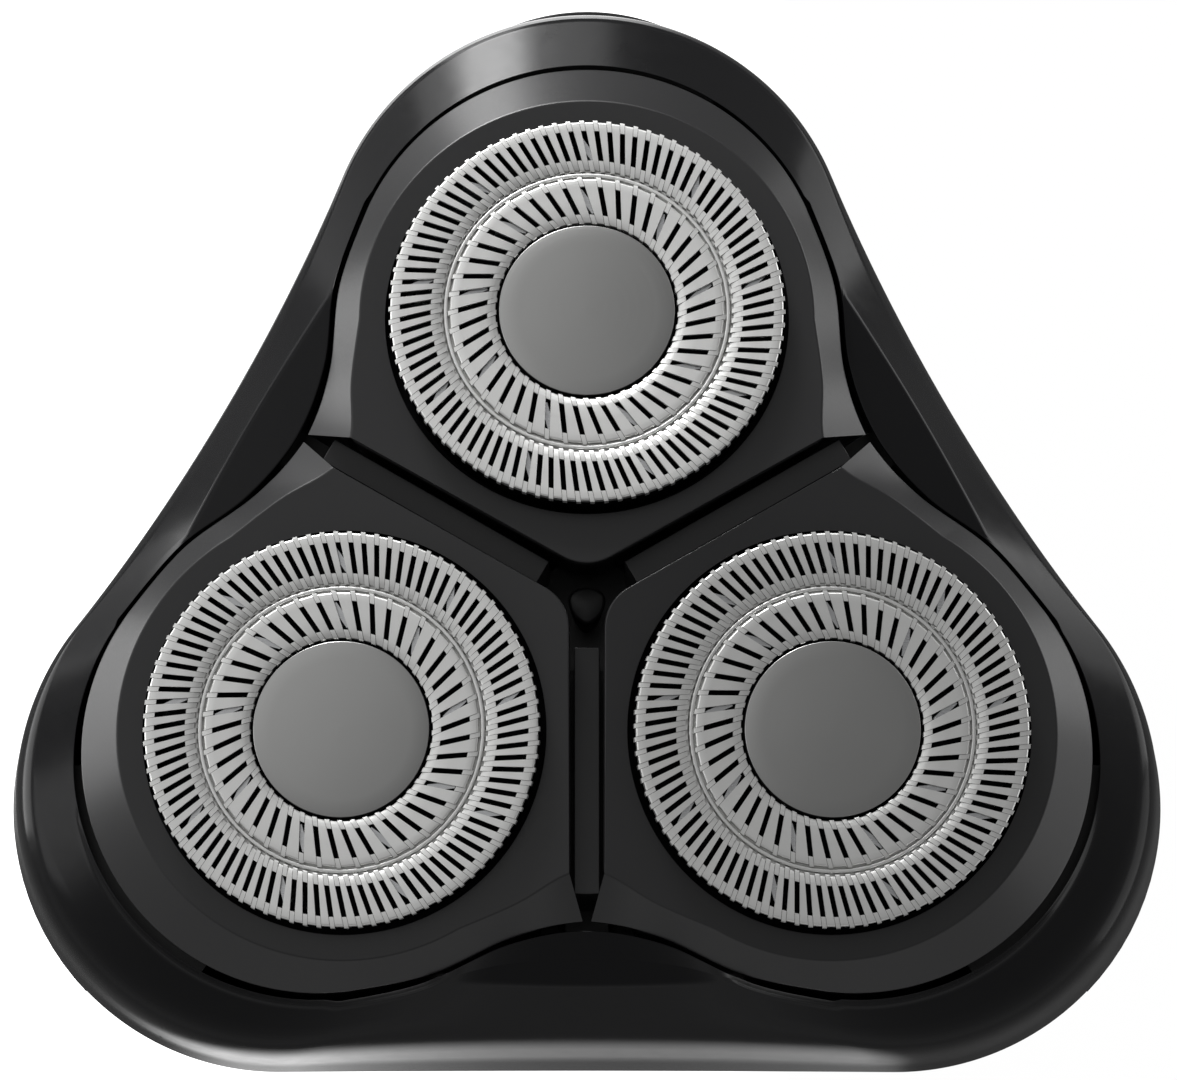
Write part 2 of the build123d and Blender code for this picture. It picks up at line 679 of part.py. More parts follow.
def make_gearbox_plate():
    """The lower plate of the gearbox, with bearings for the spindles and pinion and three screw posts."""
    body = slab(FLOOR_OUTLINE, *PLATE_LOW)
    through = (PLATE_LOW[0] - OVER_CUT, PLATE_LOW[1] + OVER_CUT)
    for angle in LOBES.values():
        body -= Pos(*polar(SPINDLE_R, angle), 0) * disc(PLATE_HOLE_R, *through)
    body -= disc(PINION_SHAFT_R + BEARING_PLAY, *through)
    for place in screw_places():
        body += place * tube(SCREW_POST_R, SCREW_POST_BORE, DECK[1], PLATE_LOW[0])
    return body


def make_deck_screws():
    """The gearbox's three pan-head screws."""
    screws = []
    for place in screw_places():
        head = disc(SCREW_HEAD_R, DECK[0] - SCREW_HEAD_H, DECK[0])
        slot = Pos(0, 0, SCREW_HEAD_H - DECK[0]) * Box(*SCREW_SLOT)
        screws.append(place * (head - slot + disc(SCREW_R, DECK[0], DECK[1] + SCREW_END)))
    return Compound(screws)


def make_seal():
    """The rubber lip between frame and hair chamber, open at the hinge."""
    ring = slab(SKIRT, *SEAL, grow=-SEAL_INSET[0])
    ring -= slab(SKIRT, SKIRT_DEPTH, SEAL[1] + OVER_CUT, grow=-SEAL_INSET[1])
    return ring - hinge_rod(GUTTER_R + 2 * SEAL_PLAY, GUTTER_W + 8 * SEAL_PLAY)


def make_release_button():
    """The release tab in the front of the hair chamber, with its inner arm."""
    pad = extrude(RectangleRounded(TAB_W, TAB_LENGTH, TAB_CORNER), amount=TAB_H)
    body = Pos(0, TAB_LENGTH / 2 - TAB_R, -TAB_DEPTH - TAB_H / 2) * pad
    body = body & (Pos(0, TAB_FACE_R - TAB_R, -TAB_DEPTH) * Cylinder(TAB_FACE_R, 2 * TAB_LENGTH))
    body = body & (Pos(0, TAB_THICK / 2 - TAB_R, -TAB_DEPTH) * Box(2 * TAB_W, TAB_THICK, 2 * TAB_LENGTH))
    arm = Pos(0, ARM_Y, -(ARM_TOP + TAB_DEPTH) / 2) * Box(ARM_W, ARM_THICK, TAB_DEPTH - ARM_TOP)
    return body + arm


def make_hinge_pin():
    """The steel pin of the head's hinge."""
    return hinge_rod(HINGE_PIN_R, GUTTER_W / 2 - 1)


def make_collar():
    """The tilted collar between handle and head, around the head's stub."""
    ring = Wire(Edge.make_circle(COLLAR_R))
    low = Pos(0, NECK_Y, HANDLE_TOP + COLLAR_GAP) * ring
    high = HEAD * Pos(0, 0, -BASE_LEVELS[-1][1] - COLLAR_GAP) * ring
    return lofted([low, high]) - HEAD * disc(NECK_R + COLLAR_PLAY, DECK[0], STUB_END + NECK_R)


def build_head():
    """Make every piece of the head and place it."""
    pieces = dict(head_holder=make_holder(), guard=make_guard(), guard_cap=make_cap(), cutter=make_cutter(),
                  guard_clip=make_clip())
    half_tooth = 180 / GEAR_TEETH
    for name, angle in LOBES.items():
        for piece, shape in pieces.items():
            keep(f"{piece}_{name}", lobe_place(angle) * shape)
        shaft = HEAD * Pos(*polar(SPINDLE_R, angle), 0)
        keep(f"drive_spindle_{name}", shaft * make_spindle())
        keep(f"spindle_spring_{name}", shaft * make_spring(COIL_PITCH_R, COIL_WIRE, *COIL_ENDS, COIL_TURNS))
        keep(f"drive_gear_{name}", shaft * (make_gear(GEAR_TEETH, angle + half_tooth) + make_stem()))
    makers = dict(retaining_bracket=make_bracket, centre_post=make_post, head_frame=make_frame,
                  drive_pinion=make_pinion, head_base=make_base, gearbox_deck=make_deck,
                  gearbox_plate=make_gearbox_plate, deck_screws=make_deck_screws, chamber_seal=make_seal,
                  release_button=make_release_button, release_spring=make_release_spring,
                  hinge_pin=make_hinge_pin)
    for name, maker in makers.items():
        keep(name, HEAD * maker())
    keep("neck_collar", make_collar())


def make_pinion():
    """The motor pinion with its shaft and the coupling cup that takes the motor shaft's ball."""
    cup_top = COUPLING_DEPTH - CUP_R
    shaft = disc(PINION_SHAFT_R, DECK[0] + PINION_PIT + COUPLING_PLAY, cup_top)
    body = make_gear(PINION_TEETH, LOBES["front"]) + shaft
    body += disc(CUP_R, cup_top, COUPLING_DEPTH + CUP_END)
    return body - disc(CUP_BORE, cup_top + CUP_FLOOR, COUPLING_DEPTH + CUP_END + OVER_CUT)


def make_release_spring():
    """The small spring behind the release tab, drawn along the tab's travel."""
    coils = make_spring(TAB_COIL_R, TAB_COIL_WIRE, 0.0, TAB_COIL_LENGTH, TAB_COIL_TURNS)
    return Pos(0, TAB_COIL_Y - TAB_R, -TAB_DEPTH) * Rot(90, 0, 0) * coils


def section(z_level, grow=0.0):
    """The handle's outline at one of its levels: a rounded oval, as a wire."""
    z, half_width, half_depth, middle = z_level
    points = []
    for k in range(OVAL_POINTS):
        turn = 2 * math.pi * k / OVAL_POINTS
        c, s = math.cos(turn), math.sin(turn)
        x = (half_width + grow) * math.copysign(abs(c) ** (2 / SUPER), c)
        y = (half_depth + grow) * math.copysign(abs(s) ** (2 / SUPER), s)
        points.append((x, middle + y, z))
    return Wire(Spline(points, periodic=True))


def handle_body(grow=0.0, levels=None):
    """The handle's solid form through its sections."""
    return lofted([section(level, grow) for level in levels or SECTIONS], ruled=False)


def handle_level(z):
    """Half width, half depth and middle of the handle at a height, between its sections."""
    for low, high in zip(SECTIONS, SECTIONS[1:]):
        if low[0] <= z <= high[0]:
            part = (z - low[0]) / (high[0] - low[0])
            return [a + (b - a) * part for a, b in zip(low[1:], high[1:])]


def front_prism(shape, z, near=-GRIP_PRISM, deep=GRIP_PRISM):
    """A sketch drawn as seen from the front, pushed through the handle's front wall."""
    return Location((0, near, z), (-90, 0, 0)) * extrude(shape, amount=deep)


def zone(low, high, front=-WEDGE_LENGTH, rear=WEDGE_LENGTH, half=WEDGE_LENGTH):
    """A block between two heights and two depths, to cut pieces out of the handle."""
    return Pos(0, (front + rear) / 2, (low + high) / 2) * Box(2 * half, rear - front, high - low)


def build_handle():
    """Make the handle's shells, controls and inner pieces."""
    outer = handle_body()
    inner_levels = [(SHELL, *SECTIONS[1][1:])] + SECTIONS[2:-1] + [(HANDLE_TOP - SHELL, *SECTIONS[-1][1:])]
    inner = handle_body(-SHELL, inner_levels)
    shell = outer - inner - Pos(0, NECK_Y, HANDLE_TOP) * Cylinder(NECK_R + NECK_PLAY, NECK_CUT)
    button_hole = front_prism(Circle(RING_R + PANEL_PLAY), BUTTON_Z)
    window = front_prism(rounded_panel(*WINDOW_SIZE, WINDOW_CORNER, 0.0), WINDOW_Z)
    window_hole = front_prism(rounded_panel(*WINDOW_SIZE, WINDOW_CORNER, WINDOW_PLAY / 2), WINDOW_Z)
    opening = rounded_panel(SOCKET_W, SOCKET_H, SOCKET_CORNER, SOCKET_PLAY / 2)
    front_half = shell & zone(CAP_TOP, HANDLE_TOP + OVER_CUT, rear=SPLIT_Y)
    keep("front_shell", front_half - button_hole - window_hole)
    keep("rear_shell", shell & zone(CAP_TOP, HANDLE_TOP + OVER_CUT, front=SPLIT_Y))
    cap = shell & zone(-OVER_CUT, CAP_TOP - CAP_GAP)
    for place in case_screw_places():
        cap -= place * (peg(BOSS_R, 0, CASE_HEAD[1]) + peg(BOSS_BORE, 0, CAP_TOP))
        cap += place * (peg(BOSS_R, *BOSS) - peg(BOSS_BORE, 0, CAP_TOP))
    keep("bottom_cap", cap - Pos(0, SOCKET_Y, 0) * extrude(opening, amount=CAP_TOP))
    keep("display_window", front_half & window)
    grown = handle_body(GRIP_RISE) - outer
    for name, side in (("side_grip_right", 1), ("side_grip_left", -1)):
        keep(name, grown & grip_zone(side))
    build_controls()
    build_inside()


def peg(radius, low, high):
    """An upright cylinder between two heights."""
    return Pos(0, 0, (low + high) / 2) * Cylinder(radius, high - low)


def rounded_panel(width, height, corner, grow):
    """A rounded rectangle, grown on every side."""
    return RectangleRounded(width + 2 * grow, height + 2 * grow, corner + grow)


def grip_zone(side):
    """The part of the handle's side that a grip covers: a long rounded panel."""
    panel = RectangleRounded(GRIP_HIGH - GRIP_LOW, GRIP_DEPTH, GRIP_DEPTH / 2 - GRIP_CORNER_TRIM)
    prism = extrude(panel, amount=GRIP_PRISM)
    place = Location((side * GRIP_START, HANDLE_Y + GRIP_Y, (GRIP_LOW + GRIP_HIGH) / 2), (0, 90, 0))
    return place * (prism if side > 0 else Rot(180, 0, 0) * prism)


def build_controls():
    """The power button, its ring and the pieces behind it."""
    _, half_depth, middle = handle_level(BUTTON_Z)
    face = middle - half_depth
    ring = Circle(RING_R) - Circle(BUTTON_R + RING_PLAY)
    keep("button_ring", front_prism(ring, BUTTON_Z, face - RING_RISE, RING_DEPTH))
    button = front_prism(Circle(BUTTON_R), BUTTON_Z, face - BUTTON_RISE, BUTTON_DEPTH)
    button = button & Pos(0, face - BUTTON_RISE + BUTTON_DOME, BUTTON_Z) * Sphere(BUTTON_DOME)
    stem = front_prism(Circle(BUTTON_STEM_R), BUTTON_Z, face + BUTTON_BACK, SWITCH_GAP)
    keep("power_button", button + stem)
    switch_face = face + BUTTON_BACK + SWITCH_GAP + BUTTON_TRAVEL + SWITCH_PLAY
    board = switch_face + SWITCH_H
    keep("switch_dome", front_prism(Circle(SWITCH_R), BUTTON_Z, switch_face, SWITCH_H))
    plate = Box(BOARD_SIZE[0], BOARD_THICK, BOARD_SIZE[1])
    keep("circuit_board", Pos(0, board + BOARD_THICK / 2, BOARD_Z) * plate)
    pipe_front = face + PIPE_FRONT
    pipe = RectangleRounded(*PIPE_SIZE, PIPE_CORNER)
    keep("light_pipe", front_prism(pipe, WINDOW_Z, pipe_front, board - pipe_front))


def case_screw_places():
    """The two screws of the bottom cap."""
    return [Pos(x, SECTIONS[0][3], 0) for x in (-CASE_SCREW_X, CASE_SCREW_X)]


def build_inside():
    """The pieces inside the handle: chassis, motor, battery and charging socket."""
    motor_axis = Pos(0, MOTOR_Y, 0)
    bore = peg(SHAFT_BORE, MOTOR_HIGH - SHAFT_BORE_DEPTH, MOTOR_HIGH + OVER_CUT)
    keep("motor", motor_axis * (peg(MOTOR_R, MOTOR_LOW, MOTOR_HIGH) - bore))
    coupling_z = HEAD_Z - COUPLING_DEPTH * math.cos(math.radians(HEAD_TILT))
    shaft = peg(SHAFT_R, MOTOR_HIGH - SHAFT_IN, coupling_z)
    keep("motor_shaft", motor_axis * (shaft + Pos(0, 0, coupling_z) * Sphere(BALL_R)))
    battery_high = BATTERY_LOW + BATTERY_LEN
    keep("battery", Pos(0, BATTERY_Y, 0) * peg(BATTERY_R, BATTERY_LOW, battery_high))
    ends = (BATTERY_LOW - STRIP[2] / 2, battery_high + STRIP[2] / 2)
    keep("battery_contacts", Compound([Pos(0, BATTERY_Y, z) * Box(*STRIP) for z in ends]))
    keep("chassis", make_chassis())
    build_socket()
    screws = []
    for place in case_screw_places():
        head = peg(CASE_HEAD_R, *CASE_HEAD) - Pos(0, 0, CASE_HEAD[0]) * Box(*CASE_SLOT)
        screws.append(place * (head + peg(CASE_SCREW_R, CASE_HEAD[1], CASE_SCREW_TOP)))
    keep("case_screws", Compound(screws))


def build_socket():
    """The charging socket with its contact tongue, and the rubber collar behind the foot."""
    outline = rounded_panel(SOCKET_W, SOCKET_H, SOCKET_CORNER, 0.0)
    body = Pos(0, 0, SOCKET_BODY[0]) * extrude(outline, amount=SOCKET_BODY[1])
    bore = rounded_panel(SOCKET_W, SOCKET_H, SOCKET_CORNER, -SOCKET_WALL)
    rim = extrude(outline - bore, amount=SOCKET_RIM)
    keep("charging_socket", Pos(0, SOCKET_Y, SOCKET_Z) * (body + rim + Pos(0, 0, TONGUE_Z) * Box(*TONGUE)))
    collar = rounded_panel(SOCKET_W, SOCKET_H, SOCKET_CORNER, COLLAR_W)
    collar -= rounded_panel(SOCKET_W, SOCKET_H, SOCKET_CORNER, SOCKET_PLAY / 8)
    keep("socket_seal", Pos(0, SOCKET_Y, SHELL + PANEL_PLAY) * extrude(collar, amount=COLLAR_H))


def make_chassis():
    """The inner frame: a spine behind the board, saddles for battery and motor, and a foot plate."""
    spine_rear = CHASSIS_Y + SPINE_THICK
    body = zone(*CHASSIS, front=CHASSIS_Y, rear=spine_rear, half=SPINE_HALF)
    body += zone(CHASSIS[0], FOOT_TOP, front=CHASSIS_Y, rear=SECTIONS[0][3] + FOOT_OVER, half=FOOT_HALF)
    for place in case_screw_places():
        body -= place * peg(CASE_SCREW_R, CAP_TOP, FOOT_TOP + OVER_CUT)
    battery_high = BATTERY_LOW + BATTERY_LEN
    for z in (BATTERY_LOW + SADDLE_INSET, battery_high - SADDLE_INSET):
        body += saddle(z, BATTERY_Y, BATTERY_R)
    for z in (MOTOR_LOW + MOTOR_SADDLE_INSET, MOTOR_HIGH - MOTOR_SADDLE_INSET):
        body += saddle(z, MOTOR_Y, MOTOR_R)
    body -= Pos(0, BATTERY_Y, 0) * peg(BATTERY_R + POCKET_PLAY, POCKET_LOW, battery_high + OVER_CUT)
    return body - Pos(0, MOTOR_Y, 0) * peg(MOTOR_R + POCKET_PLAY, MOTOR_LOW - OVER_CUT, HANDLE_TOP)


def saddle(z, y, radius):
    """A block on the chassis spine that cradles a round piece."""
    return zone(z - SADDLE_HALF, z + SADDLE_HALF, front=CHASSIS_Y, rear=y, half=radius + SADDLE_WALL)


def main():
    """Build every node and write it to its own file."""
    build_head()
    build_handle()
    for name, shape in NODES.items():
        export_step(shape, f"parts/{name}.step")


main()
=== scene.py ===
import json
import logging
import math
from collections.abc import Callable, Iterable, Sequence
from dataclasses import dataclass
from enum import Enum

import bpy
from mathutils import Matrix, Vector
from mathutils.bvhtree import BVHTree


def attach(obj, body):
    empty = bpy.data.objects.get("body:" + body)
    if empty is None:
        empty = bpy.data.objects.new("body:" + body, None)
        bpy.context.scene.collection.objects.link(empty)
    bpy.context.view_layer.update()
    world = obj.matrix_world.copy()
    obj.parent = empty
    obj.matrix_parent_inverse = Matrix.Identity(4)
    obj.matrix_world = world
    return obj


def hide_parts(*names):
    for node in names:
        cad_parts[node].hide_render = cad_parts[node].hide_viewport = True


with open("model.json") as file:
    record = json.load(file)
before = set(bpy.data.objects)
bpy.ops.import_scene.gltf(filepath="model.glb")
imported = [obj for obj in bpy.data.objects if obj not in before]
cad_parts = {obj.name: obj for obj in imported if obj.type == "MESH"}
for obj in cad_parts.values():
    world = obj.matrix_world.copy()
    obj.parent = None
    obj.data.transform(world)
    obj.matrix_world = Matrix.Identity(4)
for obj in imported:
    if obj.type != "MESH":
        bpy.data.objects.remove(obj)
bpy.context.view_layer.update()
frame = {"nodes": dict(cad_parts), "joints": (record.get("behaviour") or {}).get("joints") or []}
LOG = logging.getLogger("shaver")
MM = 0.001
HALVINGS = 24
AXIS = 0.01  # radius in millimetres of a point on the axis, so that no face closes to nothing

# Shape of a holder's brim, in millimetres and degrees from the middle of its guard. The bezel's opening follows it.
BRIM_SHIFT = 1.72
BRIM_RADIUS = 12.82
BRIM_ARC_END = 66
BRIM_FLANK = ((2.5, 13.25), (-2.2, 13.75), (-5.81, 14.92))


# ---------------------------------------------------------------- places, read from the frame


def joint(name: str) -> dict:
    """The record's joint of that name."""
    return next(j for j in frame["joints"] if j["name"] == name)


class Lobe(Enum):
    """The three lobes of the head, with their angles about the head's axis."""

    FRONT = -90.0
    RIGHT = 30.0
    LEFT = 150.0

    @property
    def label(self) -> str:
        """The lobe's name in the CAD nodes."""
        return self.name.lower()

    @property
    def body(self) -> str:
        """The body of this lobe's floating holder."""
        return f"floating_head_{self.label}"

    @property
    def place(self) -> Matrix:
        """Frame of the guard: origin in the middle of its rim, X outwards, Z out of the head."""
        spin = joint(f"cutter_spin_{self.label}")
        up = Vector(spin["axis"]).normalized()
        across = Vector(joint(f"holder_tilt_{self.label}")["axis"]).normalized()
        return axes_matrix(Vector(spin["pos_m"]), across.cross(up), across, up)


def axes_matrix(origin: Vector, x: Vector, y: Vector, z: Vector) -> Matrix:
    """Matrix of a frame.

    Args:
        origin: Where the frame stands, in metres.
        x: Its first axis.
        y: Its second axis.
        z: Its third axis.

    Returns:
        The matrix that takes the frame's own coordinates to the row's.
    """
    turn = Matrix((x, y, z)).transposed().to_4x4()
    return Matrix.Translation(origin) @ turn


def head_place() -> Matrix:
    """Frame of the head: origin in the middle of the three guards, Z out of the head, front at -Y."""
    middle = sum((lobe.place.translation for lobe in Lobe), Vector()) / len(Lobe)
    up = Vector(joint("pinion_spin")["axis"]).normalized()
    y = Vector(joint("release_press")["axis"]).normalized()
    return axes_matrix(middle, y.cross(up), y, up)


# ---------------------------------------------------------------- mesh helpers

Ring = Sequence[Vector]
Spot = tuple[float, float]
Part = tuple[list, list]
WORLD = Matrix.Identity(4)


def sin_of(degrees: float) -> float:
    """Sine of an angle in degrees."""
    return math.sin(math.radians(degrees))


def cos_of(degrees: float) -> float:
    """Cosine of an angle in degrees."""
    return math.cos(math.radians(degrees))


def polar(radius: float, degrees: float) -> Spot:
    """X and Y of a point at a radius and an angle."""
    return radius * cos_of(degrees), radius * sin_of(degrees)


def around(radius: float, degrees: float, height: float) -> Vector:
    """The point at a radius, an angle and a height."""
    return Vector((*polar(radius, degrees), height))


def last_held(low: float, high: float, holds: Callable[[float], bool]) -> float:
    """The highest value up to which a condition holds, found by halving.

    Args:
        low: A value where it holds.
        high: A value where it doesn't.
        holds: The condition.

    Returns:
        The last value where it held.
    """
    for _ in range(HALVINGS):
        half = (low + high) / 2
        low, high = (half, high) if holds(half) else (low, half)
    return low


def mesh_piece(name: str, points: Sequence[Vector], faces: Sequence[Sequence[int]], place: Matrix,
               sharp: float = 32.0) -> bpy.types.Object:
    """Make a smooth-shaded mesh object from points in millimetres.

    Args:
        name: Name of the piece.
        points: Corners in the piece's own frame, in millimetres.
        faces: Corner numbers of each face.
        place: Frame of the piece in the row, in metres.
        sharp: Angle between faces, in degrees, above which an edge stays sharp.

    Returns:
        The new object, with its place in its mesh.
    """
    mesh = bpy.data.meshes.new(name)
    mesh.from_pydata([place @ (Vector(p) * MM) for p in points], [], faces)
    mesh.validate()
    mesh.polygons.foreach_set("use_smooth", [True] * len(mesh.polygons))
    mesh.set_sharp_from_angle(angle=math.radians(sharp))
    piece = bpy.data.objects.new(name, mesh)
    bpy.context.scene.collection.objects.link(piece)
    return piece


def bridge(rings: Sequence[Ring], loop: bool = False, ends: bool = False) -> Part:
    """Join closed rings of equal length with faces.

    Args:
        rings: Rings of points, each with the same number.
        loop: Whether the last ring joins the first.
        ends: Whether the first and last ring are closed with a face.

    Returns:
        The points and the faces.
    """
    size = len(rings[0])
    points = [p for ring in rings for p in ring]
    faces = []
    for k in range(len(rings) if loop else len(rings) - 1):
        low, high = k * size, (k + 1) % len(rings) * size
        for i in range(size):
            j = (i + 1) % size
            faces.append((low + i, low + j, high + j, high + i))
    if ends:
        faces.append(tuple(reversed(range(size))))
        faces.append(tuple(range((len(rings) - 1) * size, len(rings) * size)))
    return points, faces


def sheet(rows: Sequence[Ring]) -> Part:
    """Faces over a grid of rows."""
    width = len(rows[0])
    points = [p for row in rows for p in row]
    faces = []
    for r in range(len(rows) - 1):
        for i in range(width - 1):
            a = r * width + i
            faces.append((a, a + 1, a + width + 1, a + width))
    return points, faces


def joined(parts: Iterable[Part]) -> Part:
    """Put several sets of points and faces into one."""
    points: list = []
    faces: list = []
    for part_points, part_faces in parts:
        start = len(points)
        points += list(part_points)
        faces += [tuple(start + i for i in face) for face in part_faces]
    return points, faces


def moved(part: Part, place: Matrix) -> Part:
    """The same points and faces in another place, in millimetres."""
    return [place @ Vector(p) for p in part[0]], list(part[1])


def rounded(profile: Sequence[Spot], radii: Sequence[float],
            steps: int = 4) -> list[Spot]:
    """Round the corners of an open profile.

    Args:
        profile: Corner points.
        radii: Reach of the rounding at each corner, 0 for a sharp one.
        steps: Points along each rounding.

    Returns:
        The profile with each rounded corner as a short curve, with a point just outside it on either side
        that keeps the flats flat. Its length depends only on the radii.
    """
    out = []
    for k, (point, reach) in enumerate(zip(profile, radii)):
        if reach == 0 or k in (0, len(profile) - 1):
            out.append(tuple(point))
            continue
        corner = Vector(point)
        back = Vector(profile[k - 1]) - corner
        ahead = Vector(profile[k + 1]) - corner
        share_back = min(reach / max(back.length, 1e-6), 0.42)
        share_ahead = min(reach / max(ahead.length, 1e-6), 0.42)
        start = corner + back * share_back
        end = corner + ahead * share_ahead
        out.append(tuple(corner + back * share_back * 1.12))
        for i in range(steps + 1):
            t = i / steps
            out.append(tuple(start * (1 - t) ** 2 + corner * 2 * t * (1 - t) + end * t ** 2))
        out.append(tuple(corner + ahead * share_ahead * 1.12))
    return out


def spun(profile: Sequence[Spot], count: int = 96, loop: bool = True) -> Part:
    """Turn a profile of (radius, height) about Z."""
    rings = []
    for radius, height in profile:
        rings.append([around(radius, 360 * i / count, height) for i in range(count)])
    return bridge(rings, loop=loop)


def block(size: tuple[float, float, float], middle: tuple[float, float, float], edge: float,
          steps: int = 3) -> Part:
    """A box with rounded upright corners and rounded top and bottom rims.

    Args:
        size: Length along X, Y and Z.
        middle: Its middle.
        edge: Reach of the rounding.
        steps: Points along each rounding.

    Returns:
        The points and the faces.
    """
    half_x, half_y, half_z = (s / 2 for s in size)

    def outline(inset: float, height: float) -> list[Vector]:
        """The rounded rectangle at a height, inset from the full size."""
        ring = []
        corners = ((1, 1, 0), (-1, 1, 90), (-1, -1, 180), (1, -1, 270))
        for sx, sy, start in corners:
            for i in range(steps + 1):
                x, y = polar(edge, start + 90 * i / steps)
                ring.append(Vector((sx * (half_x - edge) + x, sy * (half_y - edge) + y, 0)))
        scale_x = (half_x - inset) / half_x
        scale_y = (half_y - inset) / half_y
        return [Vector((p.x * scale_x + middle[0], p.y * scale_y + middle[1], middle[2] + height)) for p in ring]

    levels = [(edge * 1.4, -half_z)]
    for i in range(steps + 1):
        turn = math.radians(90 * i / steps)
        levels.append((edge * (1 - math.sin(turn)), -half_z + edge * (1 - math.cos(turn))))
    levels.append((0.0, -half_z + edge * 1.4))
    rings = [outline(inset, height) for inset, height in levels]
    rings += [outline(inset, -height) for inset, height in reversed(levels)]
    return bridge(rings, ends=True)


def smooth_run(points: Sequence[Spot], steps: int) -> list[Spot]:
    """A smooth curve through points, as a Catmull-Rom run without its first and last stretch.

    Args:
        points: Points, with one more at each end to set the direction there.
        steps: Points on each stretch.

    Returns:
        Points along the curve.
    """
    out = []
    for a, b, c, d in zip(points, points[1:], points[2:], points[3:]):
        for i in range(steps):
            t = i / steps
            weights = (-t ** 3 + 2 * t ** 2 - t, 3 * t ** 3 - 5 * t ** 2 + 2,
                       -3 * t ** 3 + 4 * t ** 2 + t, t ** 3 - t ** 2)
            out.append(tuple(sum(w * p[k] for w, p in zip(weights, (a, b, c, d))) / 2 for k in (0, 1)))
    out.append(tuple(points[-2]))
    return out


def node_box(name: str) -> tuple[Vector, Vector]:
    """Lowest and highest corner of a CAD node, in millimetres."""
    piece = frame["nodes"][name]
    points = [piece.matrix_world @ vertex.co / MM for vertex in piece.data.vertices]
    return (Vector(min(p[k] for p in points) for k in range(3)), Vector(max(p[k] for p in points) for k in range(3)))


class Skin:
    """Reads where the outside of some CAD nodes lies, so that trim can follow it."""

    def __init__(self, *nodes: str) -> None:
        """Gather the nodes' faces.

        Args:
            nodes: Names of the CAD nodes.
        """
        points: list = []
        faces: list = []
        for name in nodes:
            piece = frame["nodes"][name]
            start = len(points)
            points += [piece.matrix_world @ vertex.co / MM for vertex in piece.data.vertices]
            faces += [[start + i for i in face.vertices] for face in piece.data.polygons]
        self.tree = BVHTree.FromPolygons(points, faces)

    def front(self, x: float, z: float, rise: float) -> Vector:
        """The point of the front at an X and a height, raised outwards."""
        spot, normal, *_ = self.tree.ray_cast(Vector((x, -90, z)), Vector((0, 1, 0)))
        return spot + self._outward(normal, Vector((0, -1, 0))) * rise

    def side(self, hand: int, y: float, z: float, rise: float) -> Vector:
        """The point of the left (1) or right (-1) side at a Y and a height, raised outwards."""
        spot, normal, *_ = self.tree.ray_cast(Vector((90 * hand, y, z)), Vector((-hand, 0, 0)))
        return spot + self._outward(normal, Vector((hand, 0, 0))) * rise

    @staticmethod
    def _outward(normal: Vector, toward: Vector) -> Vector:
        """The normal, turned to the outside."""
        return normal if normal.dot(toward) > 0 else -normal


class RayOutline:
    """A closed outline that is read by angle: how far it lies from the origin in a direction."""

    def __init__(self, points: Sequence[Spot]) -> None:
        """Keep the outline's points as angle and distance.

        Args:
            points: Points in turning order, seen from the origin one in each direction.
        """
        pairs = sorted((math.degrees(math.atan2(y, x)) % 360, math.hypot(x, y)) for x, y in points)
        self.angles = [a for a, _ in pairs]
        self.corners = [Vector(polar(r, a)) for a, r in pairs]

    def reach(self, degrees: float) -> float:
        """Distance of the outline in a direction, along the chord between its two nearest points."""
        degrees %= 360
        low, high = 0, len(self.angles)
        while low < high:
            half = (low + high) // 2
            if self.angles[half] <= degrees:
                low = half + 1
            else:
                high = half
        before = self.corners[low - 1]
        after = self.corners[low % len(self.corners)]
        ray = Vector(polar(1.0, degrees))
        along = after - before
        across = ray.x * along.y - ray.y * along.x
        if abs(across) < 1e-9:
            return before.length
        return (before.x * along.y - before.y * along.x) / across


# ---------------------------------------------------------------- finishes


class Grain(Enum):
    """How a surface was made, which sets its fine pattern."""

    MOULDED = "moulded"
    TURNED = "turned"
    BRUSHED = "brushed"
    STIPPLED = "stippled"


def linear(hex_colour: str) -> tuple[float, float, float, float]:
    """Turn an sRGB hex colour into Blender's linear colour."""
    channels = []
    for k in (1, 3, 5):
        value = int(hex_colour[k:k + 2], 16) / 255
        channels.append(value / 12.92 if value <= 0.04045 else ((value + 0.055) / 1.055) ** 2.4)
    return (*channels, 1.0)


def add_node(tree: bpy.types.NodeTree, kind: str, settings: dict | None = None,
             links: dict | None = None) -> bpy.types.Node:
    """Add a node with its settings and links.

    Args:
        tree: The node tree.
        kind: The node's type.
        settings: Values by socket name, or by property name where no socket has it.
        links: Output sockets by the name of the input that they feed.

    Returns:
        The new node.
    """
    node = tree.nodes.new(kind)
    for key, value in (settings or {}).items():
        if isinstance(key, int) or key in node.inputs:
            node.inputs[key].default_value = value
        else:
            setattr(node, key, value)
    for key, socket in (links or {}).items():
        tree.links.new(socket, node.inputs[key])
    return node


def emptied(owner: bpy.types.Material | bpy.types.World) -> bpy.types.NodeTree:
    """The owner's node tree, switched on and empty."""
    owner.use_nodes = True
    owner.node_tree.nodes.clear()
    return owner.node_tree


def worked_out(tree: bpy.types.NodeTree, operation: str,
               *inputs: float | bpy.types.NodeSocket) -> bpy.types.NodeSocket:
    """Result of a Math node.

    Args:
        tree: The node tree.
        operation: The node's operation.
        inputs: Its inputs in order, as numbers or sockets.

    Returns:
        The result's socket.
    """
    numbers = {k: value for k, value in enumerate(inputs) if isinstance(value, float)}
    sockets = {k: value for k, value in enumerate(inputs) if k not in numbers}
    return add_node(tree, "ShaderNodeMath", {"operation": operation, **numbers}, sockets).outputs[0]


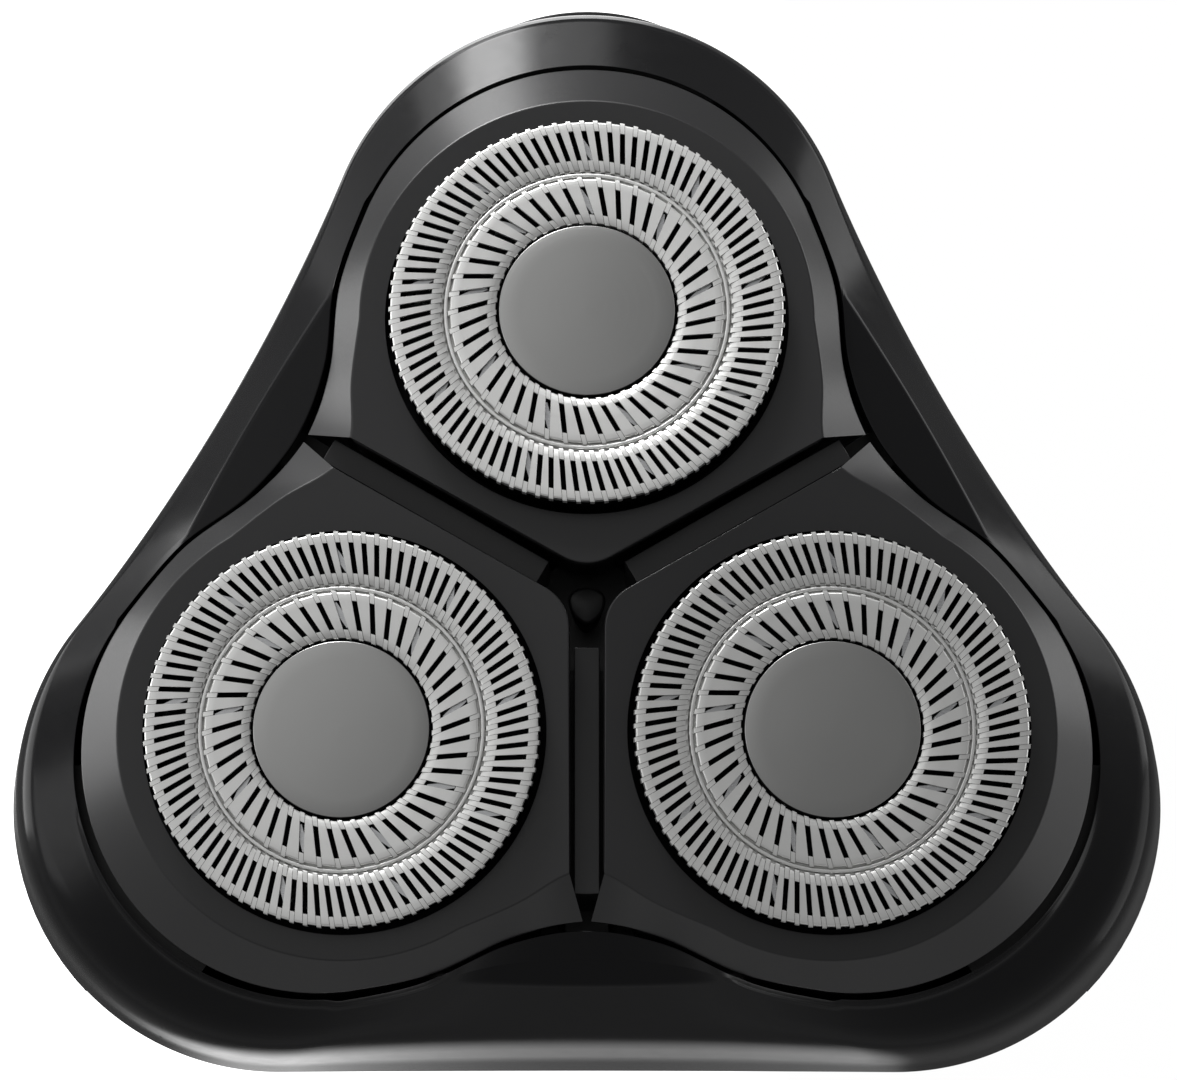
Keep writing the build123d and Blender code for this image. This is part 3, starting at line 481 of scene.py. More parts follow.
@dataclass(frozen=True)
class Finish:
    """A finish, from the real material and how its surface was made.

    Attributes:
        name: Common name of the material and its process.
        colour: Main colour, sRGB hex.
        shade: Second colour of the slow variation, sRGB hex.
        roughness: Lowest roughness.
        spread: How much rougher it gets in places.
        grain: How the surface was made.
        grain_mm: Size of the fine pattern in millimetres.
        relief_mm: Height of the fine pattern in millimetres.
        metallic: 1 for a metal.
        ior: Index of refraction of a non-metal.
        shine: Share of the mirror reflection that a non-metal's fine texture leaves, 0.5 for all of it.
        coat: Weight of a clear coat.
        place: Frame that the pattern follows, for turned and brushed grains.
        glow: Strength of its own light.
    """

    name: str
    colour: str
    shade: str
    roughness: float
    spread: float
    grain: Grain = Grain.MOULDED
    grain_mm: float = 0.3
    relief_mm: float = 0.004
    metallic: float = 0.0
    ior: float = 1.5
    shine: float = 0.5
    coat: float = 0.0
    place: Matrix | None = None
    glow: float = 0.0

    def build(self) -> bpy.types.Material:
        """Make the Blender material.

        Returns:
            A node material whose pattern comes from the object's own coordinates.
        """
        suffix = f"_{len(bpy.data.materials):02d}" if self.place is not None else ""
        material = bpy.data.materials.new(self.name + suffix)
        tree = emptied(material)
        spot = add_node(tree, "ShaderNodeTexCoord").outputs["Object"]
        if self.place is not None:
            spot = self._local(tree, spot)
        fine = self._fine(tree, spot)
        cloud = add_node(tree, "ShaderNodeTexNoise", {"Scale": 1 / (6 * MM), "Detail": 3.0}, {"Vector": spot})
        blend = add_node(tree, "ShaderNodeMix", {"data_type": "RGBA", 6: linear(self.colour),
                                                 7: linear(self.shade)}, {"Factor": cloud.outputs[0]})
        rough = add_node(tree, "ShaderNodeMapRange", {"From Min": 0.3, "From Max": 0.7, "To Min": self.roughness,
                                                      "To Max": self.roughness + self.spread}, {"Value": fine})
        bump = add_node(tree, "ShaderNodeBump", {"Strength": 1.0, "Distance": self.relief_mm * MM},
                        {"Height": fine})
        settings = {"Metallic": self.metallic, "Coat Weight": self.coat, "Coat Roughness": 0.08}
        if not self.metallic:
            settings["IOR"] = self.ior
            settings["Specular IOR Level"] = self.shine
        if self.glow:
            settings["Emission Strength"] = self.glow
            settings["Emission Color"] = linear(self.colour)
        shader = add_node(tree, "ShaderNodeBsdfPrincipled", settings,
                          {"Base Color": blend.outputs[2], "Roughness": rough.outputs[0], "Normal": bump.outputs[0]})
        add_node(tree, "ShaderNodeOutputMaterial", links={"Surface": shader.outputs[0]})
        return material

    def _local(self, tree: bpy.types.NodeTree, spot: bpy.types.NodeSocket) -> bpy.types.NodeSocket:
        """Coordinates in the finish's own frame.

        Args:
            tree: The node tree.
            spot: The object's coordinates.

        Returns:
            Coordinates whose Z runs along the frame's axis.
        """
        back = self.place.inverted()
        turn = back.to_euler()
        shift = add_node(tree, "ShaderNodeMapping", {"Location": back.translation, "Rotation": turn},
                         {"Vector": spot})
        return shift.outputs[0]

    def _fine(self, tree: bpy.types.NodeTree, spot: bpy.types.NodeSocket) -> bpy.types.NodeSocket:
        """The fine pattern of the surface.

        Args:
            tree: The node tree.
            spot: Coordinates that the pattern follows.

        Returns:
            A value from 0 to 1.
        """
        scale = 1 / (self.grain_mm * MM)
        if self.grain is Grain.TURNED:
            parts = add_node(tree, "ShaderNodeSeparateXYZ", links={"Vector": spot})
            flat = add_node(tree, "ShaderNodeCombineXYZ", links={"X": parts.outputs[0], "Y": parts.outputs[1]})
            away = add_node(tree, "ShaderNodeVectorMath", {"operation": "LENGTH"}, {0: flat.outputs[0]})
            line = add_node(tree, "ShaderNodeCombineXYZ", links={"X": away.outputs["Value"]})
            spot = line.outputs[0]
        elif self.grain is Grain.BRUSHED:
            spot = add_node(tree, "ShaderNodeMapping", {"Scale": (0.02, 1.0, 1.0)}, {"Vector": spot}).outputs[0]
        elif self.grain is Grain.STIPPLED:
            cells = add_node(tree, "ShaderNodeTexVoronoi", {"Scale": scale}, {"Vector": spot})
            return cells.outputs["Distance"]
        detail = 4.0 if self.grain is Grain.MOULDED else 2.0
        return add_node(tree, "ShaderNodeTexNoise", {"Scale": scale, "Detail": detail}, {"Vector": spot}).outputs[0]


# Polished black ABS: a deep gloss with a faint orange peel from the mould.
GLOSS_ABS = Finish("abs_moulded_gloss_black", "#0E0E0F", "#111112", 0.16, 0.05, grain_mm=0.9, relief_mm=0.0015,
                   shine=0.15)
# Satin black ABS: the fine spark-eroded mould leaves a soft even sheen.
SATIN_ABS = Finish("abs_moulded_satin_black", "#171718", "#19191A", 0.3, 0.08, grain_mm=0.12, relief_mm=0.0012,
                   shine=0.45)
# Textured black ABS of the handle: duller, with a grain that can be felt.
TEXTURED_ABS = Finish("abs_moulded_textured_black", "#19191B", "#1E1E20", 0.42, 0.12, grain_mm=0.25, relief_mm=0.006)
# Inner ABS: plain dark mouldings inside the head.
INNER_ABS = Finish("abs_moulded_inner_black", "#121213", "#181819", 0.4, 0.1, grain_mm=0.4)
# Grey ABS of the chassis and the gearbox deck.
GREY_ABS = Finish("abs_moulded_grey", "#4A4B4E", "#54565A", 0.45, 0.1, grain_mm=0.4)
# Natural acetal of the gears: waxy off-white.
ACETAL = Finish("acetal_moulded_natural", "#DAD6C8", "#CFCAB9", 0.38, 0.1, grain_mm=0.5)
# Soft thermoplastic rubber of the grips: a dull skin over a fine stipple.
GRIP_RUBBER = Finish("tpe_rubber_stippled_black", "#141414", "#1B1B1B", 0.62, 0.15, Grain.STIPPLED, 0.55, 0.03)
# Silicone seals.
SEAL_RUBBER = Finish("silicone_moulded_black", "#101010", "#151515", 0.55, 0.1, grain_mm=0.5)
# Zinc-plated steel of screws, pins and springs.
PLATED_STEEL = Finish("steel_zinc_plated", "#A9AAAB", "#8F9092", 0.3, 0.12, grain_mm=0.4, metallic=1.0)
# Nickel strip of the contacts.
NICKEL = Finish("nickel_rolled_strip", "#B9B4A8", "#A8A396", 0.28, 0.1, Grain.BRUSHED, 0.2, metallic=1.0)
# Ground steel of the motor shaft and cutters: bright, with faint grinding lines.
GROUND_STEEL = Finish("steel_ground_bright", "#C9CACB", "#B4B5B7", 0.24, 0.1, Grain.BRUSHED, 0.12, 0.002,
                      metallic=1.0)
# Steel coloured near black as painted shade, for the cutter discs and the guard seats: it stands for the deep shadow
# in the slots and in the gap round each guard.
PAINTED_SHADE_STEEL = Finish("steel_oxide_blacked", "#1C1C1E", "#141415", 0.45, 0.15, grain_mm=0.3, metallic=1.0)
# Satin chrome of the button's ring.
SATIN_CHROME = Finish("chrome_satin_plated", "#B5B6B9", "#A4A5A9", 0.2, 0.05, grain_mm=0.15, relief_mm=0.001,
                      metallic=1.0)
# Blue shrink wrap round the cell.
SHRINK_WRAP = Finish("pvc_shrink_wrap_blue", "#1F4E86", "#1A4374", 0.32, 0.1, grain_mm=1.2, relief_mm=0.02)
# Green solder mask of the circuit board.
SOLDER_MASK = Finish("fibreglass_solder_mask_green", "#0F4A2A", "#0C3C22", 0.3, 0.12, Grain.BRUSHED, 0.3, 0.004)
# Clear acrylic of the light pipe, seen only inside.
ACRYLIC = Finish("acrylic_moulded_clear", "#C9CDD2", "#BFC4CA", 0.12, 0.05, grain_mm=1.0, relief_mm=0.001)
# Smoked polycarbonate of the display window: dark and glossy.
SMOKED_WINDOW = Finish("polycarbonate_smoked_polished", "#08090B", "#0A0B0E", 0.07, 0.03, grain_mm=1.5,
                       relief_mm=0.0008, ior=1.58, coat=0.4)
# A small white lamp behind a lens.
LAMP_LENS = Finish("polycarbonate_lens_white", "#DCE6F2", "#CBD8E8", 0.25, 0.05, ior=1.58, glow=0.6)


def turned_steel(place: Matrix) -> Finish:
    """Stainless steel of a guard: satin, with fine concentric lines from lapping its face."""
    return Finish("stainless_lapped_satin", "#DFDFDD", "#D8D8D7", 0.36, 0.1, Grain.TURNED, 0.09, 0.0015,
                  metallic=1.0, place=place)


def turned_cap(place: Matrix) -> Finish:
    """Anodised aluminium of a guard's middle disc: grey satin, with faint turning lines."""
    return Finish("aluminium_anodised_grey", "#A3A3A2", "#9C9C9B", 0.28, 0.05, Grain.TURNED, 0.12, 0.0008,
                  metallic=1.0, place=place)


class Dresser:
    """Hands out each finish's material, made once, and puts pieces on their bodies."""

    def __init__(self) -> None:
        """Start with no materials and no pieces."""
        self.made: dict[str, bpy.types.Material] = {}
        self.count = 0

    def material(self, finish: Finish) -> bpy.types.Material:
        """The material of a finish."""
        key = finish.name if finish.place is None else f"{finish.name}{tuple(finish.place.translation)}"
        if key not in self.made:
            self.made[key] = finish.build()
        return self.made[key]

    def add(self, name: str, part: Part, place: Matrix, finish: Finish, body: str, slot: str,
            replaces: Sequence[str] = (), sharp: float = 32.0) -> None:
        """Make a piece, finish it and put it on its body.

        Args:
            name: Name of the piece.
            part: Its points in millimetres and its faces.
            place: Its frame in the row, in metres.
            finish: Its finish.
            body: The CAD body that it rides on.
            slot: The record's material slot of the piece; not used.
            replaces: CAD nodes that it stands for.
            sharp: Angle between faces, in degrees, above which an edge stays sharp.
        """
        piece = mesh_piece(name, *part, place, sharp)
        piece.data.materials.clear()
        piece.data.materials.append(self.material(finish))
        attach(piece, body)
        if replaces:
            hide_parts(*replaces)
        self.count += 1
        LOG.info("%s on %s: %s", piece.name, body, finish.name)

    def keep(self, finish: Finish, *nodes: str) -> None:
        """Give CAD nodes that stay their finish."""
        for node in nodes:
            data = frame["nodes"][node].data
            data.materials.clear()
            data.materials.append(self.material(finish))
            data.polygons.foreach_set("material_index", [0] * len(data.polygons))
            LOG.info("%s kept: %s", node, finish.name)


# ---------------------------------------------------------------- head frame (bezel)


@dataclass(frozen=True)
class Trilobe:
    """A three-lobed outline of six tangent arcs.

    Attributes:
        centre: Distance of each lobe's centre from the axis.
        radius: Radius of each lobe.
        side: Distance of the middle of each side.
        rear: The same for the rear side.
    """

    centre: float
    radius: float
    side: float
    rear: float

    def reach(self, degrees: float) -> float:
        """Distance of the outline from the axis in a direction.

        Args:
            degrees: Direction about the head's axis.

        Returns:
            The distance in millimetres.
        """
        off_lobe = abs((degrees - Lobe.FRONT.value + 60) % 120 - 60)
        side = self.rear if 30 < degrees % 360 < 150 else self.side
        across = self.centre * sin_of(60)
        along = self.centre * 0.5
        bend = (across ** 2 + (side - along) ** 2 - self.radius ** 2) / (2 * (self.radius - side + along))
        hub = side + bend
        toward = Vector((hub - along, -across))
        touch = Vector((along, across)) + toward.normalized() * self.radius * (1 if bend > 0 else -1)
        off_side = 60 - off_lobe
        if off_side < math.degrees(math.atan2(touch.y, touch.x)):
            fall = hub * sin_of(off_side)
            root = math.sqrt(bend ** 2 - fall ** 2)
            return hub * cos_of(off_side) - root * (1 if bend > 0 else -1)
        fall = self.centre * sin_of(off_lobe)
        return self.centre * cos_of(off_lobe) + math.sqrt(self.radius ** 2 - fall ** 2)

    def grown(self, by: float) -> "Trilobe":
        """The same outline moved outwards."""
        return Trilobe(self.centre, self.radius + by, self.side + by, self.rear + by)


@dataclass
class Bezel:
    """The glossy frame round the three holders: land, bevel, crisp edge, bulge, skirt and hinge barrel."""

    apex: Trilobe = Trilobe(12.6, 12.4, 20.2, 20.2)
    edge: Trilobe = Trilobe(18.4, 14.1, 22.0, 22.1)
    bulge: Trilobe = Trilobe(18.8, 14.3, 22.6, 22.9)
    skirt: Trilobe = Trilobe(19.2, 14.4, 23.1, 23.95)
    apex_depth: float = 4.0
    edge_depth: float = 8.1
    bulge_depth: float = 9.6
    skirt_depth: float = 15.0
    dome_top: float = 3.53
    dome_radius: float = 166.7
    land_depth: float = 7.6
    wall: float = 1.9
    gap: float = 0.24
    arc_trim: float = 0.3
    hole_reach: float = 15.1
    hole_spoke: float = 17.85
    samples: int = 720
    hinge_y: float = 20.6
    hinge_depth: float = 15.5
    barrel: float = 3.3
    ear: Spot = (4.0, 7.7)
    barrel_end: float = 26.9
    undercut: float = 0.3
    rear_close: float = 0.08
    rear_rise: float = 1.0
    flank_relief: float = 0.1

    def dome(self, radius: float) -> float:
        """Depth of the domed land at a radius."""
        return self.dome_top + self.dome_radius - math.sqrt(self.dome_radius ** 2 - radius ** 2)

    def top(self, radius: float, degrees: float) -> float:
        """Depth of the upper face at a radius: the land, or the bevel outside its crest.

        Args:
            radius: Distance from the head's axis.
            degrees: Direction about the head's axis.

        Returns:
            The depth in millimetres.
        """
        inner, outer = self.apex.reach(degrees), self.edge.reach(degrees)
        bevel = self.apex_depth + (self.edge_depth - self.apex_depth) * (radius - inner) / (outer - inner)
        return max(self.dome(radius), bevel)

    def crest(self, degrees: float) -> float:
        """Radius at which the bevel meets the land, found by halving."""
        inner, outer = self.apex.reach(degrees), self.edge.reach(degrees)
        fall = self.edge_depth - self.apex_depth
        return inner + (outer - inner) * last_held(
            0.0, 1.0, lambda share: self.apex_depth + fall * share < self.dome(inner + (outer - inner) * share))

    def hole(self) -> RayOutline:
        """The opening for the holders, as an outline about the head's axis."""
        gap = self.gap
        points = []
        for lobe in Lobe:
            flank = holder_flank(gap)
            arc = [brim_point(gap, a, BRIM_SHIFT - self.arc_trim) for a in range(-64, 65, 2)]
            here = [self._lobe_point(p, lobe.value) for p in arc]
            up = [self._lobe_point(p, lobe.value) for p in flank[:3]]
            middle = polar(self.hole_spoke, lobe.value + 60)
            down = [self._lobe_point((x, -y), lobe.value + 120) for x, y in reversed(flank[:3])]
            run = [here[-2], *up, middle, *down, self._lobe_point(arc[1], lobe.value + 120)]
            points += here[:-1] + smooth_run(run, 10)
        return RayOutline([(x, y - self.rear_close * self.rear(math.degrees(math.atan2(y, x)))) for x, y in points])

    @staticmethod
    def rear(degrees: float) -> float:
        """1 towards the rear of the head, falling to 0 at its sides."""
        return max(0.0, min(1.0, (sin_of(degrees) - 0.35) / 0.4))

    def _lobe_point(self, point: Spot, degrees: float) -> Spot:
        """A holder's point in the head's frame."""
        x, y = point[0] + self.hole_reach, point[1]
        c, s = polar(1.0, degrees)
        return x * c - y * s, x * s + y * c

    def fade(self, degrees: float) -> float:
        """How crisp the outer edge is: full at the front and sides, soft towards the rear lobes."""
        off_rear = abs((degrees - 90 + 180) % 360 - 180)
        return 0.25 + 1.6 * max(0.0, min(1.0, (85 - off_rear) / 45))

    def build(self, dresser: Dresser) -> None:
        """Make the bezel and its barrel, and put them on the shaving unit."""
        place = head_place()
        hole = self.hole()
        angles = [360 * i / self.samples for i in range(self.samples)]
        columns = []
        for a in angles:
            h, c = hole.reach(a), self.crest(a)
            e, b, s = self.edge.reach(a), self.bulge.reach(a), self.skirt.reach(a)
            c = max(c, h + 0.3)
            half = (h + c) / 2
            inner_top = e - self.wall - 0.3
            rise = self.rear_rise * self.rear(a)
            profile = [(h + 0.05, -self.land_depth), (h, rise - self.top(h, a)),
                       (half, rise * 0.4 - self.top(half, a)),
                       (c, -self.top(c, a)), (e, -self.edge_depth), (b, -self.bulge_depth),
                       (b + (s - b) * 0.65 - self.flank_relief * self.rear(a),
                        -self.bulge_depth - (self.skirt_depth - self.bulge_depth) * 0.65),
                       (s, -self.skirt_depth), (s - self.wall, -self.skirt_depth),
                       (b - self.wall, -self.bulge_depth), (max(inner_top, h + 0.1), -self.land_depth)]
            soft = self.fade(a)
            radii = [0, 0.12, 0.01, 0.22, soft, 1.6, 0.5, 0.15, 0.15, 0.5, 0]
            columns.append(rounded(profile, radii, 5))
        rings = []
        for level in range(len(columns[0])):
            rings.append([around(col[level][0], a, col[level][1]) for a, col in zip(angles, columns)])
        body = bridge(list(reversed(rings)), loop=True)
        dresser.add("bezel", joined([body, *self._barrels()]), place, GLOSS_ABS, "shaving_unit", "frame_gloss",
                    ["head_frame"])

    def _barrels(self) -> list[Part]:
        """The round hinge barrel under the rear wall, in three stretches between the ears."""
        stretches = ((-self.barrel_end, -self.ear[1]), (-self.ear[0], self.ear[0]), (self.ear[1], self.barrel_end))
        parts = []
        for low, high in stretches:
            rings = []
            count = 24
            for i in range(count + 1):
                x = low + (high - low) * i / count
                walls = self._rear_wall(self.bulge, x), self._rear_wall(self.skirt, x)
                ring = []
                for k in range(40):
                    y, z = polar(self.barrel, 9 * k)
                    low_by = self.hinge_depth - z - self.bulge_depth
                    share = min(1.0, low_by / (self.skirt_depth - self.bulge_depth))
                    limit = walls[0] + (walls[1] - walls[0]) * share - 0.08
                    limit -= self.undercut * max(0.0, self.hinge_depth - z - self.skirt_depth)
                    ring.append(Vector((x, min(self.hinge_y + y, limit), -self.hinge_depth + z)))
                rings.append(ring)
            parts.append(bridge(rings, ends=True))
        return parts

    @staticmethod
    def _rear_wall(outline: Trilobe, x: float) -> float:
        """Y of an outline's rear at an X, found by walking the outline's angle."""
        turn = last_held(0.0, 90.0, lambda angle: polar(outline.reach(angle), angle)[0] > abs(x))
        return polar(outline.reach(turn), turn)[1]


# ---------------------------------------------------------------- floating holders and guards


def brim_point(gap: float, degrees: float, shift: float = BRIM_SHIFT) -> Spot:
    """A point of the brim's lobe arc, grown by a gap."""
    x, y = polar(BRIM_RADIUS + gap, degrees)
    return shift + x, y


def holder_flank(gap: float) -> list[Spot]:
    """Points of a holder's brim from its lobe arc to its pointed tip by the spoke, grown by a gap."""
    return [brim_point(gap, BRIM_ARC_END), *((x, y + gap) for x, y in BRIM_FLANK)]


@dataclass
class Holder:
    """A dark floating holder ("petal"): flat face, chamfer that flares to the spoke, skirt and lip."""

    lobe: Lobe
    face_depth: float = 1.7
    brim_depth: float = 3.85
    depth: float = 8.3
    face_radius: float = 12.13
    bore: float = 10.74
    head_radius: float = 15.0
    half_gap: float = 1.04
    skirt_gap: float = 1.9
    nose: float = 2.5
    flare_start: int = 70
    flare_steps: int = 56
    cut_steps: int = 8
    side_steps: int = 50
    lip: Spot = (13.0, 15.3)
    lip_thick: float = 0.8
    lip_turn: int = 26
    lip_step: int = 4

    def spoke_point(self, reach: float, offset: float) -> Spot:
        """A point beside the spoke: reach from the head's centre, offset from the spoke."""
        s, c = sin_of(60), 0.5
        return -self.head_radius + reach * c + offset * s, reach * s - offset * c

    def nose_run(self, offset: float, radius: float) -> list[Spot]:
        """The rounded inner corner, from the upper spoke side round to the lower."""
        middle = -self.head_radius + (offset + radius) / sin_of(60)
        return [(middle - radius * cos_of(t), radius * sin_of(t))
                for t in range(30, -31, -4)]

    def outline(self, main: list[Spot], flank: list[Spot],
                offset: float) -> RayOutline:
        """A closed outline.

        Args:
            main: Upper half of the lobe arc.
            flank: Points from the arc to the spoke's corner.
            offset: Distance of the spoke sides from the spoke.

        Returns:
            The outline, read by angle from the guard's centre.
        """
        half = main + flank
        side = [self.spoke_point(r, offset) for r in (13.0, 10.0, 7.0, 5.0)]
        upper = half + side
        return RayOutline(upper + self.nose_run(offset, self.nose) + [(x, -y) for x, y in upper])

    def build(self, dresser: Dresser) -> None:
        """Make the holder and put it on its body."""
        face_arc = [polar(self.face_radius, a) for a in range(0, 90, 2)]
        corner = self.spoke_point(15.1, self.half_gap)
        face_flank = smooth_run([(4.0, self.face_radius - 0.6), (0, self.face_radius), (-3.4, 12.55),
                                 corner, (-9.0, 13.6)], 8)
        face = self.outline(face_arc, face_flank, self.half_gap)
        brim_arc = [brim_point(0, a) for a in range(0, 64, 2)]
        tip = holder_flank(0)[-1]
        brim_flank = smooth_run([brim_arc[-2], *holder_flank(0), (-8.2, 16.6)], 8)
        brim = self.outline(brim_arc, brim_flank + [corner], self.half_gap)
        skirt_flank = brim_flank[:-6] + [self.spoke_point(14.6, self.skirt_gap)]
        skirt = self.outline(brim_arc, skirt_flank, self.skirt_gap)
        ends = [math.degrees(math.atan2(p[1], p[0])) for p in (tip, corner)]
        cuts = [(a, polar(brim.reach(a), a), self.brim_depth) for a in range(self.flare_start)]
        for i in range(self.flare_steps + 1):
            t = i / self.flare_steps
            away = self.flare_start + (ends[0] - self.flare_start) * t
            cuts.append((self.flare_start + (ends[1] - self.flare_start) * t, polar(brim.reach(away), away),
                         self.brim_depth))
        for i in range(1, self.cut_steps + 1):
            t = i / self.cut_steps
            spot = tip[0] + (corner[0] - tip[0]) * t, tip[1] + (corner[1] - tip[1]) * t
            cuts.append((ends[1], spot, self.brim_depth + (self.face_depth + 0.08 - self.brim_depth) * t))
        for i in range(1, self.side_steps + 1):
            a = ends[1] + (180 - ends[1]) * i / self.side_steps
            cuts.append((a, polar(brim.reach(a), a), self.face_depth + 0.5))
        half = []
        for i, (face_turn, spot, depth) in enumerate(cuts):
            half.append(self._column(180 * i / (len(cuts) - 1), face_turn, spot, depth, face, skirt))
        other = [[Vector((p.x, -p.y, p.z)) for p in column] for column in reversed(half[1:-1])]
        columns = half + other
        rings = [[column[level] for column in columns] for level in range(len(columns[0]))]
        part = joined([bridge(list(reversed(rings)), loop=True), self._lip()])
        dresser.add(f"holder_{self.lobe.label}", part, self.lobe.place, SATIN_ABS, self.lobe.body, "holder_satin",
                    [f"head_holder_{self.lobe.label}"])

    def _column(self, bore_turn: float, face_turn: float, brim_spot: Spot, brim_depth: float,
                face: RayOutline, skirt: RayOutline) -> list[Vector]:
        """One section of the holder, from its bore over the face and the chamfer down its side.

        Args:
            bore_turn: Direction of its point on the bore from the guard's centre.
            face_turn: Direction of the face's edge.
            brim_spot: The chamfer's lower end.
            brim_depth: Its depth.
            face: The face's outline.
            skirt: The outline of the side below the chamfer.

        Returns:
            The section's points.
        """
        reach, turn = Vector(brim_spot).length, math.degrees(math.atan2(brim_spot[1], brim_spot[0]))
        edge = face.reach(face_turn)
        brim = polar(max(reach, edge + 0.02 if abs(turn - face_turn) < 1 else 0.0), turn)
        side = polar(min(skirt.reach(turn), reach - 0.06), turn)
        profile = [around(self.bore, bore_turn, -self.depth),
                   around(self.bore, bore_turn, -self.face_depth),
                   around(edge, face_turn, -self.face_depth), Vector((*brim, -brim_depth)),
                   Vector((*side, -brim_depth - 0.35)), Vector((*side, -self.depth))]
        return [Vector(p) for p in rounded(profile, [0, 0.03, 0.08, 0.12, 0, 0], 4)]

    def _lip(self) -> Part:
        """The lip under the bezel that stops the holder coming out."""
        turns = range(-self.lip_turn, self.lip_turn + 1, self.lip_step)
        back = range(self.lip_turn, -self.lip_turn - 1, -self.lip_step)
        rings = [[around(self.lip[1], a, z) for a in turns] + [around(self.lip[0], a, z) for a in back]
                 for z in (-self.depth, -self.depth + self.lip_thick)]
        return bridge(rings, ends=True)


@dataclass
class Guard:
    """A slotted steel guard: two tracks of slanted lands and webs, a ribbed groove and a wall.

    Attributes:
        lobe: The lobe that it sits on.
        rim: Outer radius.
        web_out: How far the outer webs stand past the lands.
    """

    lobe: Lobe
    rim: float = 10.45
    web_out: float = 0.1
    slot_width: float = 0.28
    thick: float = 0.22
    outer: tuple[float, float, float, float] = (7.78, 8.3, 9.95, 10.45)
    outer_count: int = 90
    outer_slant: float = 12.0
    inner: tuple[float, float, float, float] = (4.86, 5.3, 6.85, 7.3)
    inner_web_out: float = 0.06
    inner_count: int = 45
    inner_slant: float = 18.0
    wall_depth: float = 3.65
    flange: Spot = (11.3, 4.1)
    cup: tuple[float, float, float] = (4.4, 4.6, 1.3)
    cup_floor: float = 0.4

    def track(self, reaches: tuple[float, float, float, float], count: int, slant: float,
              out_in: float) -> Part:
        """One track of lands with a slot and two webs between each pair.

        Args:
            reaches: Inner edge, slot start, slot end and outer edge.
            count: Number of slots.
            slant: Slant of the slots from the radius, in degrees.
            out_in: How far the webs stand past the lands at the inner edge.

        Returns:
            The points and the faces.
        """
        low, slot_low, slot_high, high = reaches
        middle = (slot_low + slot_high) / 2
        step = 360 / count
        half_slot = self.slot_width / 2
        run = Vector(polar(1.0, slant))
        parts = []

        def spot(radius: float, across: float, turn: float, height: float) -> Vector:
            """The point at a radius on a straight line beside the slot's own, in the slot's place."""
            start = Vector((middle, 0)) + Vector((-run.y, run.x)) * across
            along = start.dot(run)
            ahead = math.sqrt(along ** 2 - start.length_squared + radius ** 2) - along
            x, y = start + run * ahead
            return around(math.hypot(x, y), turn + math.degrees(math.atan2(y, x)), height)

        land_levels = [(low, -0.4), (low, -0.16), (low + 0.02, -0.11), (low + 0.07, -0.085), (low + 0.3, -0.03),
                       (low + 0.5, 0.0), (middle, 0.0), (slot_high, 0.0), (high - 0.12, 0.0), (high - 0.08, -0.008),
                       (high - 0.02, -0.05), (high, -0.12), (high, -0.4)]
        webs = [[(slot_high, -self.thick), (slot_high, -0.02), (high - 0.04, -0.02),
                 (high + self.web_out * 0.7, -0.05), (high + self.web_out, -0.12), (high + self.web_out, -0.4)]]
        webs.append([(slot_low, -self.thick), (slot_low, -0.02), (low, -0.03), (low - out_in * 0.7, -0.06),
                     (low - out_in, -0.12), (low - out_in, -0.4)])
        for k in range(count):
            rows = []
            for radius, height in land_levels:
                here, there = (k * step, half_slot), ((k + 1) * step, -half_slot)
                rows.append([spot(radius, across, turn, height - sink) for (turn, across), sink
                             in ((here, self.thick), (here, 0.0), (there, 0.0), (there, self.thick))])
            parts.append(sheet(rows))
            for levels in webs:
                rows = []
                for radius, height in levels:
                    rows.append([spot(radius, half_slot * share, k * step, height) for share in (-0.86, 0, 0.86)])
                parts.append(sheet(rows))
        return joined(parts)

    def build(self, dresser: Dresser) -> None:
        """Make the guard and put it on its holder."""
        groove = rounded([(self.outer[0] + 0.02, -0.36), (7.66, -0.4), (7.6, -0.1), (7.42, -0.1), (7.38, -0.4),
                          (self.inner[3] - 0.02, -0.36)], [0, 0.03, 0.06, 0.06, 0.03, 0], 3)
        wall = [(self.rim - 0.05, -0.38), (self.rim - 0.25, -0.7), (self.rim - 0.25, -self.wall_depth),
                (self.flange[0], -self.wall_depth), (self.flange[0], -self.flange[1]),
                (self.rim - 0.6, -self.flange[1]), (self.rim - 0.6, -0.35)]
        inside, outside, deep = self.cup
        shallow = deep - self.cup_floor
        cup = [(outside, -self.thick), (outside, -deep), (AXIS, -deep), (AXIS, -shallow), (inside, -shallow),
               (inside, -self.thick)]
        parts = [self.track(self.outer, self.outer_count, self.outer_slant, self.web_out),
                 self.track(self.inner, self.inner_count, self.inner_slant, self.inner_web_out),
                 spun(groove, 180, loop=False)]
        name, place = f"guard_{self.lobe.label}", self.lobe.place
        dresser.add(f"{name}_steel", joined(parts), place, turned_steel(place), self.lobe.body, "guard_steel", [name],
                    sharp=40)
        # The wall and cup under the rim are coloured near black as painted shade, for the dark gap round the guard.
        seat = joined([spun(wall, 180, loop=False), spun(cup, 90, loop=False)])
        dresser.add(f"{name}_skirt", seat, place, PAINTED_SHADE_STEEL, self.lobe.body, "inner_steel")


